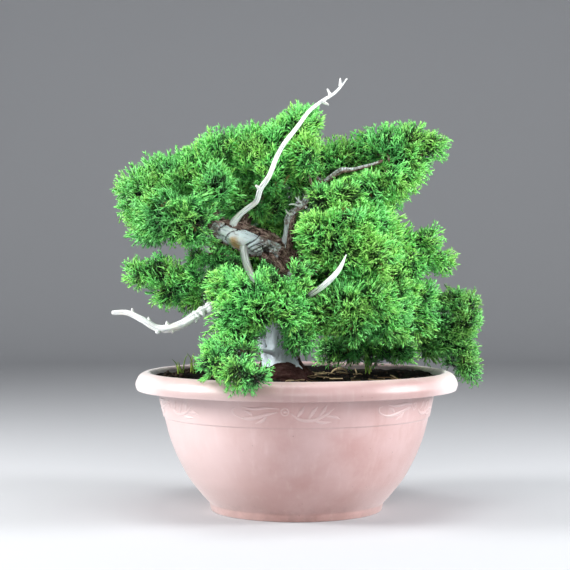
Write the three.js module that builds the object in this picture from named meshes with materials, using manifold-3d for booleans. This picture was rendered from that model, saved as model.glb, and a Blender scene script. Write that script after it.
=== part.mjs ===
// An Itoigawa juniper grown as a bonsai in a round bowl.
// Millimetres, +Z up, the tree's front faces -Y. The origin is the centre of the bowl's foot, on the table.
import * as THREE from "three";
import { mergeVertices } from "three/addons/utils/BufferGeometryUtils.js";
import Module from "manifold-3d";

// Bowl
const RIM_RADIUS = 150;
const CROWN_Z = 129;
const BOWL_SIDES = 36;
const FLOOR_THICKNESS = 5;
const DRAIN_HOLES = 5;
const DRAIN_RADIUS = 6;
const DRAIN_CIRCLE = 47;

// Soil
const SOIL_Z = 119;
const SOIL_SIDES = 18;
const SOIL_LUMP = 1.6;

// Gaps between pieces that touch
const SEAT_GAP = 0.3;
const FOLIAGE_GAP = 0.6;

// Foliage: each spray is a slim core with whips standing out of it, each a thin spike of scale leaves
const WHIP_RADIUS = 1.2;
const WHIP_GAP = 0.3;
const OWN_WHIP_GAP = -0.5; // whips taper, so those of one node may start a little closer together
const SMALLEST_FACE = 4;
const CORE_SIDES = 4;
const CORE_SHARE = 0.21;
const TWIG_RADIUS = 1.4;

const COLOURS = {
  bowl: 0xe2bfb4,
  soil: 0x2a1d14,
  bark: 0x6e5444,
  deadwood: 0xe9e4d6,
  foliage: 0x4f9a3a,
};

const wasm = await Module();
wasm.setup();

const V = (p) => new THREE.Vector3(p[0], p[1], p[2]);

// A seeded draw between 0 and 1, so that every build is the same.
function drawFrom(seed) {
  let state = seed;
  return () => {
    state = (state + 0x6d2b79f5) | 0;
    let t = Math.imul(state ^ (state >>> 15), 1 | state);
    t = (t + Math.imul(t ^ (t >>> 7), 61 | t)) ^ t;
    return ((t ^ (t >>> 14)) >>> 0) / 4294967296;
  };
}

// Solids from closed three.js geometry, and back again.

function solidFrom(geometry) {
  const bare = new THREE.BufferGeometry();
  bare.setAttribute("position", geometry.getAttribute("position"));
  bare.setIndex(geometry.getIndex());
  const merged = mergeVertices(bare, 1e-4);
  return new wasm.Manifold(
    new wasm.Mesh({
      numProp: 3,
      vertProperties: merged.attributes.position.array,
      triVerts: new Uint32Array(merged.index.array),
    }),
  );
}

const fuse = (solids) => wasm.Manifold.union(solids);

// The largest body of a solid, without the loose scraps that a cut may leave.
function mainBody(solid) {
  const bodies = solid.decompose();
  return bodies.reduce((a, b) => (b.volume() > a.volume() ? b : a));
}

function meshFrom(solid, name, colour, roughness) {
  const found = mainBody(solid).simplify(0.03).getMesh();
  const positions = new Float32Array(found.numVert * 3);
  for (let i = 0; i < found.numVert; i++) {
    const start = i * found.numProp;
    positions.set(found.vertProperties.subarray(start, start + 3), i * 3);
  }
  const geometry = new THREE.BufferGeometry();
  geometry.setAttribute("position", new THREE.BufferAttribute(positions, 3));
  geometry.setIndex(new THREE.BufferAttribute(new Uint32Array(found.triVerts), 1));
  geometry.computeVertexNormals();
  const material = new THREE.MeshStandardMaterial({ color: colour, roughness, metalness: 0 });
  const mesh = new THREE.Mesh(geometry, material);
  mesh.name = name;
  return mesh;
}

// Round limbs: a cylinder bent along a curve, with its own radius at each point.

function limbCurve(points) {
  const places = points.map(V);
  if (places.length === 2) return new THREE.LineCurve3(places[0], places[1]);
  return new THREE.CatmullRomCurve3(places, false, "centripetal");
}

function radiusAt(points, u, extra = 0) {
  const along = u * (points.length - 1);
  const i = Math.min(Math.floor(along), points.length - 2);
  return THREE.MathUtils.lerp(points[i][3], points[i + 1][3], along - i) + extra;
}

// points are [x, y, z, radius]. ribs swells the section into lobes that turn slowly along the limb.
function limb(points, { sides = 6, stepsPerSpan = 2, extra = 0, ribs = 0, lobes = 3, twist = 2 } = {}) {
  const curve = limbCurve(points);
  const steps = Math.max(1, (points.length - 1) * stepsPerSpan);
  const geometry = new THREE.CylinderGeometry(1, 1, 1, sides, steps);
  const position = geometry.getAttribute("position");
  const frames = [];
  let normal = null;
  for (let i = 0; i <= steps; i++) {
    const tangent = curve.getTangent(i / steps);
    if (!normal) {
      const aside = Math.abs(tangent.z) < 0.9 ? new THREE.Vector3(0, 0, 1) : new THREE.Vector3(1, 0, 0);
      normal = aside.cross(tangent).normalize();
    }
    normal = normal.clone().addScaledVector(tangent, -normal.dot(tangent)).normalize();
    frames.push({ place: curve.getPoint(i / steps), normal, binormal: tangent.clone().cross(normal) });
  }
  const spot = new THREE.Vector3();
  for (let i = 0; i < position.count; i++) {
    const u = position.getY(i) + 0.5;
    const frame = frames[Math.round(u * steps)];
    const turn = Math.atan2(position.getZ(i), position.getX(i));
    const reach = Math.hypot(position.getX(i), position.getZ(i));
    const swell = 1 + ribs * Math.sin(lobes * turn + twist * u * Math.PI);
    const radius = radiusAt(points, u, extra) * reach * swell;
    spot.copy(frame.place);
    spot.addScaledVector(frame.normal, radius * Math.cos(turn));
    spot.addScaledVector(frame.binormal, -radius * Math.sin(turn));
    position.setXYZ(i, spot.x, spot.y, spot.z);
  }
  return geometry;
}

// Places already taken, kept as capsules, so that no node's twigs cross another node.

const taken = [];

function segmentGap(a, b, c, d) {
  const u = b.clone().sub(a);
  const v = d.clone().sub(c);
  const w = a.clone().sub(c);
  const uu = u.dot(u);
  const uv = u.dot(v);
  const vv = v.dot(v);
  const uw = u.dot(w);
  const vw = v.dot(w);
  const area = uu * vv - uv * uv;
  let s = area > 1e-9 ? THREE.MathUtils.clamp((uv * vw - vv * uw) / area, 0, 1) : 0;
  const t = THREE.MathUtils.clamp((uv * s + vw) / Math.max(vv, 1e-9), 0, 1);
  s = THREE.MathUtils.clamp((uv * t - uw) / Math.max(uu, 1e-9), 0, 1);
  return w.addScaledVector(u, s).addScaledVector(v, -t).length();
}

function take(node, a, b, radius, isWhip = false) {
  taken.push({ node, a: a.clone(), b: b.clone(), radius, isWhip });
}

function takeLimb(node, points, swell = 1) {
  const curve = limbCurve(points);
  const steps = (points.length - 1) * 3;
  for (let i = 0; i < steps; i++) {
    const u = i / steps;
    const next = (i + 1) / steps;
    const radius = Math.max(radiusAt(points, u), radiusAt(points, next)) * swell;
    take(node, curve.getPoint(u), curve.getPoint(next), radius);
  }
}

// Over the soil inside the bowl, over the rim, or outside it.
function clearOfBowl(place, radius) {
  const out = Math.hypot(place.x, place.y);
  if (out > RIM_RADIUS + radius + 0.8) return true;
  if (out < 124 - radius) return place.z > SOIL_Z + SOIL_LUMP + radius + 0.8;
  return place.z > CROWN_Z + radius + 0.8;
}

// The name of another node that lies too near a round piece from a to b, or nothing where it is clear.
function nearest(node, a, b, radius, gap) {
  const middle = a.clone().lerp(b, 0.5);
  if (![a, middle, b].every((place) => clearOfBowl(place, radius))) return "bowl";
  const found = taken.find((t) => {
    const own = t.node === node;
    if (own && !t.isWhip) return false;
    return segmentGap(a, b, t.a, t.b) < radius + t.radius + (own ? OWN_WHIP_GAP : gap);
  });
  return found?.node;
}

// The bowl: outside from the foot up to the lip, over the crown and down the inside.

const WALL = 4;
const BODY_OUTSIDE = [[81, 7], [87, 13.5], [100, 29.5], [111, 50], [118.5, 69.5], [122.6, 86]];
const BAND = [[124, 88], [129, 113]];
const RIM = [[148, 112], [RIM_RADIUS, 117.5], [146, 126], [138, CROWN_Z], [134.5, 126.5]];

// The bowl's inner wall, or a line that lies a gap inside it.
function insideOf(gap) {
  const wall = [...BODY_OUTSIDE, ...BAND].filter(([, z]) => z > 20 && z !== 88);
  return [[77, FLOOR_THICKNESS], ...wall.map(([r, z]) => [r - WALL, z])].map(([r, z]) => [r - gap, z]);
}

function bowlSolid() {
  const body = [...BODY_OUTSIDE, ...BAND];
  const profile = [
    [0, 0], [27, 0], [29, 2], [66, 2], [68, 0], [79.5, 0],
    ...body, ...RIM, ...insideOf(0).reverse(), [0, FLOOR_THICKNESS],
  ];
  const points = profile.map(([r, z]) => new THREE.Vector2(r, z));
  const bowl = new THREE.LatheGeometry(points, BOWL_SIDES);
  bowl.rotateX(Math.PI / 2);
  let solid = solidFrom(bowl);
  for (let i = 0; i < DRAIN_HOLES; i++) {
    const turn = (i / DRAIN_HOLES) * 2 * Math.PI;
    const hole = new THREE.CylinderGeometry(DRAIN_RADIUS, DRAIN_RADIUS, 4 * FLOOR_THICKNESS, 10);
    hole.rotateX(Math.PI / 2);
    hole.translate(DRAIN_CIRCLE * Math.cos(turn), DRAIN_CIRCLE * Math.sin(turn), 0);
    solid = solid.subtract(solidFrom(hole));
  }
  return solid;
}

// Soil: the filling of the bowl, a little rough on top and mounded round the trunk.

function soilSolid(woodOutside) {
  const side = insideOf(2 * SEAT_GAP);
  side[0][1] += SEAT_GAP;
  const top = [126, 105, 80, 50].map((r) => [r, SOIL_Z]);
  const profile = [[0, side[0][1]], ...side, ...top, [0, SOIL_Z]];
  const soil = new THREE.LatheGeometry(profile.map(([r, z]) => new THREE.Vector2(r, z)), SOIL_SIDES);
  soil.rotateX(Math.PI / 2);
  const position = soil.getAttribute("position");
  for (let i = 0; i < position.count; i++) {
    const x = position.getX(i);
    const y = position.getY(i);
    if (position.getZ(i) < SOIL_Z - 1) continue;
    const wave = Math.sin(x * 0.11 + 1) * Math.cos(y * 0.13) + 0.6 * Math.sin(x * 0.27 - y * 0.21);
    position.setZ(i, SOIL_Z + SOIL_LUMP * 0.6 * wave);
  }
  return solidFrom(soil).subtract(woodOutside);
}

// Wood: each row is x, y, z and radius.

const TRUNK = [
  [-13, 4, 96, 15], [-13, 4, 118, 19], [-13, 2, 130, 19], [-15, 0, 143, 16.5], [-20, -4, 162, 14],
  [-19, -2, 183, 13], [-9, 4, 204, 12.5], [-4, 8, 222, 12.5], [-15, 2, 238, 13.5],
  [-32, -8, 246, 13], [-52, -14, 253, 12], [-71, -14, 260, 9], [-80, -15, 267, 5.5],
];
const ROOTS = [
  [[-16, -2, 134, 9], [-36, -14, 124, 8], [-52, -22, 114, 4.5]],
  [[-8, -2, 134, 9], [9, -14, 124, 8], [24, -22, 114, 4.5]],
  [[-8, 6, 132, 9], [6, 24, 123, 7], [20, 38, 114, 4]],
  [[-18, 6, 132, 9], [-34, 22, 123, 6.5], [-48, 34, 114, 4]],
  [[-13, -4, 130, 9], [-14, -22, 122, 8], [-16, -38, 113, 4.5]],
];
const BRANCHES = {
  second_leader: [
    [-12, 2, 235, 7], [-7, -4, 248, 5.8], [-5, -6, 267, 5.5], [1, -6, 281, 5], [10, -8, 290, 4],
    [21, -10, 299, 3.2], [40, -14, 310, 2.5], [51, -16, 313, 2.3], [68, -16, 317, 2.1], [79, -15, 322, 1.9],
  ],
  left: [[-74, -14, 262, 6], [-84, -15, 270, 4.8], [-93, -17, 277, 3.6], [-100, -18, 281, 2.8]],
  top: [[-72, -12, 260, 5], [-75, -6, 272, 4.2], [-78, -2, 282, 3.2], [-80, 2, 290, 2.5]],
  apex: [[-50, -10, 254, 6], [-48, 4, 266, 5], [-43, 12, 278, 3.8], [-39, 15, 288, 2.8]],
  upper_fork: [[10, -8, 290, 3], [19, 3, 296, 2.5], [30, 10, 304, 2]],
  middle_right: [[-6, 4, 230, 7], [10, 0, 238, 5.5], [24, -8, 243, 4.2], [35, -14, 246, 3]],
  lower_right: [[-9, 4, 204, 7], [8, -8, 203, 5.5], [24, -18, 200, 4.2], [36, -25, 197, 3]],
  far_right: [[-16, 2, 172, 8], [12, 22, 168, 6], [50, 34, 163, 4.6], [90, 36, 161, 3.8], [118, 28, 163, 2.8]],
  rear_right: [[40, 32, 164, 4], [56, 44, 158, 3], [67, 55, 155, 2.3]],
  middle_left: [[-14, 0, 196, 6], [-36, -14, 205, 4.6], [-56, -22, 209, 3.6], [-70, -26, 210, 2.6]],
  front: [[-13, -2, 200, 6], [-20, -28, 200, 4.6], [-26, -48, 198, 3.4], [-28, -56, 196, 2.6]],
  hanging: [[-16, -6, 144, 6], [-34, -38, 150, 3.8], [-45, -66, 151, 3], [-51, -86, 149, 2.4]],
  rear_left: [[-6, 8, 222, 6], [-10, 32, 226, 4.6], [-18, 50, 232, 2.8]],
  rear_middle: [[-6, 8, 210, 6], [8, 32, 218, 4.6], [22, 52, 225, 2.8]],
  under: [[-72, -15, 258, 3], [-76, -19, 249, 2.3], [-79, -21, 242, 1.7]],
};
const JINS = {
  jin_apex: [
    [-54, -15, 257, 4], [-58, -20, 266, 3.4], [-46, -26, 278, 3.2], [-37, -30, 285, 3.1],
    [-33, -34, 296, 3.1], [-25, -38, 308, 2.8], [-19, -40, 323, 2.6], [-12, -40, 336, 2.5],
    [1, -36, 353, 2.4], [11, -30, 367, 2.2], [23, -24, 377, 2.1], [36, -20, 386, 1.8], [46, -18, 398, 1.1],
  ],
  jin_left: [
    [-20, -6, 183, 7], [-43, -24, 187, 6], [-62, -36, 190, 5.4], [-76, -42, 190, 5.2], [-83, -44, 186, 5],
    [-92, -46, 181, 4.8], [-103, -48, 174, 4.4], [-116, -50, 170, 3.8], [-126, -50, 170.5, 3.4],
    [-139, -50, 178, 3], [-153, -48, 184, 2.5], [-166, -46, 184, 2],
  ],
  jin_claw: [
    [-6, 0, 206, 4.5], [1, -40, 197, 4], [9, -66, 199, 3.4], [21, -76, 207, 3.4], [31, -80, 216, 3.2],
    [38, -82, 225, 2.4], [43, -82, 236, 0.9],
  ],
  jin_low: [[-48, -15, 250, 4], [-48, -23, 240, 3.8], [-46, -26, 230, 3.4], [-41, -28, 218, 2.8], [-36, -28, 209, 1.8]],
};
// Broken twig ends left on the deadwood: where they start, where they end, and their radius.
const STUBS = {
  jin_apex: [
    [[23, -24, 377, 2], [29, -25, 373.5, 1]],
    [[31, -22, 383, 1.6], [28, -23, 388, 0.9]],
    [[40, -19, 391, 1.5], [40, -20, 398, 0.8]],
    [[-33, -34, 296, 2.4], [-37, -36, 299, 1.4]],
  ],
  jin_left: [
    [[-126, -50, 170.5, 3], [-125, -51, 163.5, 1.6]],
    [[-151, -48, 183, 2], [-150, -48, 190, 1]],
    [[-116, -50, 172, 3], [-117, -51, 178, 1.2]],
    [[-137, -50, 177, 2.4], [-138, -50, 183, 1]],
    [[-88, -45, 183, 3], [-89, -47, 175, 1.3]],
  ],
  jin_claw: [],
  jin_low: [],
};

const TRUNK_SHAPE = { sides: 10, stepsPerSpan: 2, ribs: 0.1, lobes: 3, twist: 3 };

function woodPieces(extra) {
  const pieces = [solidFrom(limb(TRUNK, { ...TRUNK_SHAPE, extra }))];
  for (const root of ROOTS) pieces.push(solidFrom(limb(root, { sides: 6, extra })));
  for (const branch of Object.values(BRANCHES)) {
    pieces.push(solidFrom(limb(branch, { sides: 5, stepsPerSpan: 1, extra })));
  }
  return fuse(pieces);
}

function jinSolid(name, woodOutside) {
  const pieces = [solidFrom(limb(JINS[name], { sides: 6, stepsPerSpan: 1 }))];
  for (const stub of STUBS[name]) pieces.push(solidFrom(limb(stub, { sides: 4, stepsPerSpan: 1 })));
  return fuse(pieces).subtract(woodOutside);
}

// Foliage. Each pad grows from the end of one branch. Its sprays are x, y, z of the middle and the
// reach of the whips round it; lift is the way the pad's tips lean.

const PADS = {
  foliage_left: {
    branch: "left", lift: [-0.3, 0, 0.25],
    sprays: [
      [-145, -10, 291, 22], [-120, -35, 270, 23], [-117, -5, 306, 22], [-92, -42, 264, 22], [-135, -20, 264, 18],
      [-126, 16, 284, 18],
    ],
  },
  foliage_top: {
    branch: "top", lift: [-0.1, 0, 0.5],
    sprays: [[-95, 0, 312, 22], [-70, 8, 333, 21], [-75, -26, 298, 18], [-88, 32, 300, 20]],
  },
  foliage_apex: {
    branch: "apex", lift: [0.1, 0, 0.6],
    sprays: [
      [-43, 5, 333, 20], [-17, 0, 340, 19], [1, -2, 357, 17], [-23, -8, 312, 18], [-33, 45, 285, 22],
      [-56, 38, 303, 21], [15, 6, 362, 10], [-6, 26, 322, 17],
    ],
  },
  foliage_upper_middle: {
    branch: "upper_fork", lift: [0, 0, 0.5],
    sprays: [
      [7, -16, 329, 16], [31, 8, 325, 16], [50, 6, 328, 17], [22, -28, 284, 16], [44, -30, 290, 17], [47, 40, 308, 19],
    ],
  },
  foliage_upper_right: {
    branch: "second_leader", lift: [0.3, 0, 0.3],
    sprays: [
      [70, 4, 334, 18], [88, -4, 339, 15], [106, -6, 345, 13], [128, -6, 338, 12], [107, -8, 319, 15],
      [90, -14, 304, 17], [67, -22, 295, 17], [85, 6, 289, 12], [92, 36, 322, 17],
    ],
  },
  foliage_middle_right: {
    branch: "middle_right", lift: [0.3, -0.2, 0.25],
    sprays: [
      [19, -44, 256, 18], [48, -38, 266, 19], [75, -14, 262, 18], [98, -4, 246, 15], [121, -4, 250, 12],
      [135, -2, 230, 11], [101, -14, 222, 17], [72, -46, 234, 19], [44, -46, 234, 19],
    ],
  },
  foliage_lower_right: {
    branch: "lower_right", lift: [0.2, -0.2, -0.15],
    sprays: [
      [118, -4, 198, 13], [95, -14, 196, 18], [68, -50, 196, 20], [38, -64, 192, 19], [15, -70, 182, 17],
      [50, -60, 174, 16], [83, -36, 173, 18], [110, 0, 174, 16],
    ],
  },
  foliage_far_right: {
    branch: "far_right", lift: [0.3, 0, -0.25],
    sprays: [
      [144, 14, 194, 12], [166, 18, 190, 12], [160, 16, 174, 15], [143, 20, 160, 15], [157, 18, 146, 13],
      [162, 10, 129, 11], [130, 38, 150, 14],
    ],
  },
  foliage_rear_right: {
    branch: "rear_right", lift: [0, 0.2, -0.1],
    sprays: [[32, 46, 145, 12], [50, 60, 145, 14], [77, 70, 145, 15], [104, 66, 144, 14]],
  },
  foliage_middle_left: {
    branch: "middle_left", lift: [-0.4, 0, 0.1],
    sprays: [[-144, -34, 219, 12], [-124, -34, 221, 14], [-119, -34, 203, 13], [-99, -30, 212, 15], [-97, -24, 194, 12]],
  },
  foliage_under: {
    branch: "under", lift: [0, 0, -0.5],
    sprays: [[-92, -22, 233, 9], [-70, -24, 234, 9], [-56, -34, 229, 7]],
  },
  foliage_front: {
    branch: "front", lift: [0, -0.3, -0.2],
    sprays: [
      [-64, -62, 208, 16], [-43, -76, 204, 18], [-17, -68, 212, 17], [-59, -76, 184, 18],
      [-33, -86, 184, 18], [-8, -86, 184, 17], [-54, -84, 166, 14], [2, -78, 162, 14],
    ],
  },
  foliage_hanging: {
    branch: "hanging", lift: [-0.1, -0.3, -0.35],
    sprays: [[-66, -110, 152, 15], [-74, -134, 142, 12], [-50, -152, 136, 14], [-34, -156, 132, 10], [-44, -108, 150, 11]],
  },
  foliage_rear_left: {
    branch: "rear_left", lift: [-0.1, 0.4, 0.2],
    sprays: [[-33, 72, 228, 21], [-54, 60, 203, 18], [-19, 72, 262, 18], [-64, 52, 240, 18], [-26, 62, 190, 16]],
  },
  foliage_rear_middle: {
    branch: "rear_middle", lift: [0.2, 0.4, 0.1],
    sprays: [
      [8, 82, 248, 20], [36, 76, 226, 20], [64, 64, 206, 18], [6, 84, 202, 18], [50, 58, 264, 18],
      [78, 52, 240, 17], [36, 66, 190, 16],
    ],
  },
};

// A spray's twig with its slim core, which ends in the leading whip.
function coreGeometry({ fork, base, axis, reach }) {
  const row = (share, size) => {
    const place = base.clone().addScaledVector(axis, share * reach);
    return [place.x, place.y, place.z, reach * CORE_SHARE * size];
  };
  const twig = [[fork.x, fork.y, fork.z, TWIG_RADIUS], [base.x, base.y, base.z, TWIG_RADIUS]];
  const core = [row(0.4, 1), row(0.9, 0.85), row(1.75, 0)];
  return limb([...twig, ...core], { sides: CORE_SIDES, stepsPerSpan: 1 });
}

// The foot of a whip: a small triangle at the first corner of a face.
function whipFoot([a, b, c]) {
  const middle = new THREE.Triangle(a, b, c).getMidpoint(new THREE.Vector3());
  const beside = (corner) => corner.clone().sub(a).setLength(1.8 * WHIP_RADIUS).add(a).lerp(middle, 0.15);
  return [a, beside(b), beside(c)];
}

// Where a whip from this face can end clear of everything else, or nothing after a few tries.
function whipTip(node, spray, face, share, draw) {
  const foot = new THREE.Triangle(...whipFoot([face.a, face.b, face.c])).getMidpoint(new THREE.Vector3());
  for (let attempt = 0; attempt < 6; attempt++) {
    const away = face.getNormal(new THREE.Vector3()).addScaledVector(spray.axis, 0.25 + 0.5 * share);
    away.x += 0.5 * (draw() - 0.5);
    away.y += 0.5 * (draw() - 0.5);
    away.z += 0.5 * (draw() - 0.5);
    const length = spray.reach * (0.95 - 0.1 * attempt) * (0.8 + 0.3 * draw());
    const tip = foot.clone().addScaledVector(away.normalize(), length);
    if (nearest(node, foot, tip, WHIP_RADIUS, WHIP_GAP)) continue;
    take(node, foot, tip, 0.8 * WHIP_RADIUS, true);
    return tip;
  }
  return null;
}

// One spray: a whip stands out of every other face of the core, leaning towards its tip.
function spraySolid(node, spray, draw) {
  const core = coreGeometry(spray);
  const position = core.getAttribute("position");
  const index = core.getIndex();
  const corner = (i) => new THREE.Vector3().fromBufferAttribute(position, index.getX(i));
  const triangles = [];
  let chosen = false;
  for (let i = 0; i < index.count; i += 3) {
    const corners = [corner(i), corner(i + 1), corner(i + 2)];
    const face = new THREE.Triangle(...corners);
    const share = face.getMidpoint(new THREE.Vector3()).sub(spray.base).dot(spray.axis) / spray.reach;
    chosen = !chosen && share > 0.1 && face.getArea() > SMALLEST_FACE;
    const tip = chosen && whipTip(node, spray, face, share, draw);
    if (!tip) {
      triangles.push(corners);
      continue;
    }
    const [a, b, c] = corners;
    const [, p, q] = whipFoot(corners);
    triangles.push([a, b, p], [b, c, q], [b, q, p], [c, a, q]);
    triangles.push([a, p, tip], [p, q, tip], [q, a, tip]);
  }
  const raised = new THREE.BufferGeometry().setFromPoints(triangles.flat());
  return solidFrom(raised);
}

// The skeleton of a pad: twigs run from the branch end to each spray, each from the nearest fork.
function padSkeleton(node, { branch, lift, sprays }) {
  const wood = BRANCHES[branch];
  const end = wood[wood.length - 1];
  const ahead = limbCurve(wood).getTangent(1);
  const seat = V(end).addScaledVector(ahead, SEAT_GAP);
  const collar = seat.clone().addScaledVector(ahead, 6);
  const row = (place, radius) => [place.x, place.y, place.z, radius];
  const stem = [row(seat, end[3]), row(collar, TWIG_RADIUS)];
  const forks = [collar];
  const placed = [];
  const waiting = sprays.map(([x, y, z, reach]) => ({ middle: new THREE.Vector3(x, y, z), reach }));
  while (waiting.length) {
    let best = null;
    for (const fork of forks) {
      for (const spray of waiting) {
        const gap = fork.distanceTo(spray.middle);
        if (!best || gap < best.gap) best = { gap, fork, spray };
      }
    }
    const { fork, spray } = best;
    waiting.splice(waiting.indexOf(spray), 1);
    const axis = spray.middle.clone().sub(fork).normalize().add(V(lift)).normalize();
    const base = spray.middle.clone().addScaledVector(axis, -0.75 * spray.reach);
    const inside = base.clone().addScaledVector(axis, 0.3 * spray.reach);
    const shoulder = base.clone().addScaledVector(axis, 0.9 * spray.reach);
    const tip = base.clone().addScaledVector(axis, 1.75 * spray.reach);
    const thickness = spray.reach * CORE_SHARE;
    const where = " of the spray at " + spray.middle.toArray().join() + " is too near ";
    const claim = (what, from, to, radius) => {
      const other = nearest(node, from, to, radius, FOLIAGE_GAP);
      if (other) console.warn(node + ": the " + what + where + other);
      take(node, from, to, radius);
    };
    claim("twig", fork.clone().lerp(base, 0.25), base, TWIG_RADIUS);
    claim("core", base, shoulder, thickness);
    claim("tip", shoulder, tip, 0.6 * thickness);
    placed.push({ fork, base, axis, reach: spray.reach });
    forks.push(inside);
  }
  return { stem, placed };
}

function padSolid(node, { stem, placed }, seed) {
  const draw = drawFrom(seed);
  const pieces = [solidFrom(limb(stem, { sides: 5, stepsPerSpan: 1 }))];
  for (const spray of placed) pieces.push(spraySolid(node, spray, draw));
  return fuse(pieces);
}

// Assembly

const bonsai = new THREE.Group();
const woodOutside = woodPieces(SEAT_GAP);

bonsai.add(meshFrom(bowlSolid(), "bowl", COLOURS.bowl, 0.45));
bonsai.add(meshFrom(soilSolid(woodOutside), "soil", COLOURS.soil, 1));
bonsai.add(meshFrom(woodPieces(0), "trunk", COLOURS.bark, 0.9));

takeLimb("trunk", TRUNK, 1.1);
for (const root of ROOTS) takeLimb("trunk", root);
for (const branch of Object.values(BRANCHES)) takeLimb("trunk", branch);
for (const name of Object.keys(JINS)) {
  bonsai.add(meshFrom(jinSolid(name, woodOutside), name, COLOURS.deadwood, 0.7));
  takeLimb(name, JINS[name]);
  for (const stub of STUBS[name]) takeLimb(name, stub);
}

const skeletons = Object.entries(PADS).map(([name, pad]) => [name, padSkeleton(name, pad)]);
skeletons.forEach(([name, skeleton], i) => {
  bonsai.add(meshFrom(padSolid(name, skeleton, 11 + i), name, COLOURS.foliage, 0.6));
});

export default bonsai;
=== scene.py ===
"""Looks of an Itoigawa juniper grown as a bonsai in a round bowl.

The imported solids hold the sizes. Here the bowl, the soil, the wood and the foliage are modelled
finely in the places of those solids. Lengths are in millimetres, until a mesh is published in
metres.
"""

import logging
import math
from dataclasses import dataclass, field
from enum import Enum
from typing import Callable, Mapping, Sequence

import bmesh
import bpy
import numpy as np
from mathutils import Matrix, Vector, noise


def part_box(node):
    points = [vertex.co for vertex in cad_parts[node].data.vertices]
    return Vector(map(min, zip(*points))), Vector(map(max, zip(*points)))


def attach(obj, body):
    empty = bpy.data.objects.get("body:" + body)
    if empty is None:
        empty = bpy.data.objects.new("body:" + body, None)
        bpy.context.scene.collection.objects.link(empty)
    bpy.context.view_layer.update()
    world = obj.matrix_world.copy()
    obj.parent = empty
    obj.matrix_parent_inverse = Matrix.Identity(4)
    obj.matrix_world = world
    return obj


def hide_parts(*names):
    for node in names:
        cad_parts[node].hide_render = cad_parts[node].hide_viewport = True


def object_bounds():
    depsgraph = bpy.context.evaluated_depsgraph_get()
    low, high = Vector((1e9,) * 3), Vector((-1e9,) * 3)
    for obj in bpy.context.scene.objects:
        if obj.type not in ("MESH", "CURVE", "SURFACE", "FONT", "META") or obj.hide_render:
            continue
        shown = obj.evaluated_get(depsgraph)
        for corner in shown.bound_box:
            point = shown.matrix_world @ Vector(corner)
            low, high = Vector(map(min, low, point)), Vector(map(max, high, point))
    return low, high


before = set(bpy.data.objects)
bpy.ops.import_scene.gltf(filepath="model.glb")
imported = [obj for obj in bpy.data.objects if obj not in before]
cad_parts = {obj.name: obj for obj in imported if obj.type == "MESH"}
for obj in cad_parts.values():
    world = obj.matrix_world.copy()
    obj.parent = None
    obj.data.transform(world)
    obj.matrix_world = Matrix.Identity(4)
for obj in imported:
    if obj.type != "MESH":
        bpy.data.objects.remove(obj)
CAD_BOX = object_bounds()

LOG = logging.getLogger("bonsai")
MM = 0.001
BODY = "root"
ANY_TURN = 6.3
GOLDEN_TURN = 2.39996
UNDER_BARK = -9.0
PAST_END = 6.3

Row = tuple[float, float, float, float]
Colour = tuple[float, float, float, float]
Place = tuple[float, float, float]


class Slot(Enum):
    """The part's material slots."""

    BOWL = "bowl"
    SOIL = "soil"
    BARK = "bark"
    DEADWOOD = "deadwood"
    FOLIAGE = "foliage"


# Colours and shader maths.


def colour(red: int, green: int, blue: int) -> Colour:
    """A colour given as it looks on a screen, from 0 to 255.

    Args:
        red: The red share.
        green: The green share.
        blue: The blue share.

    Returns:
        The colour as light, with full alpha.
    """
    shares = [share / 255 for share in (red, green, blue)]
    light = [s / 12.92 if s <= 0.04045 else ((s + 0.055) / 1.055) ** 2.4 for s in shares]
    return (light[0], light[1], light[2], 1.0)


class Term:
    """A socket of a finish, which can be used in Python sums."""

    def __init__(self, tree: "FinishTree", socket: bpy.types.NodeSocket) -> None:
        """Keeps the socket and the tree that it is in."""
        self.tree = tree
        self.socket = socket

    def combine(self, operation: str, left: "Term | float", right: "Term | float") -> "Term":
        """Adds one Math node.

        Args:
            operation: The Math node's operation.
            left: The first value.
            right: The second value.

        Returns:
            The node's result.
        """
        return self.tree.add("ShaderNodeMath", {"operation": operation}, {0: left, 1: right})

    def __add__(self, other: "Term | float") -> "Term":
        """The sum."""
        return self.combine("ADD", self, other)

    def __radd__(self, other: float) -> "Term":
        """The sum, with a number first."""
        return self.combine("ADD", other, self)

    def __sub__(self, other: "Term | float") -> "Term":
        """The difference."""
        return self.combine("SUBTRACT", self, other)

    def __rsub__(self, other: float) -> "Term":
        """The difference from a number."""
        return self.combine("SUBTRACT", other, self)

    def __mul__(self, other: "Term | float") -> "Term":
        """The product."""
        return self.combine("MULTIPLY", self, other)

    def __rmul__(self, other: float) -> "Term":
        """The product, with a number first."""
        return self.combine("MULTIPLY", other, self)


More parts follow.
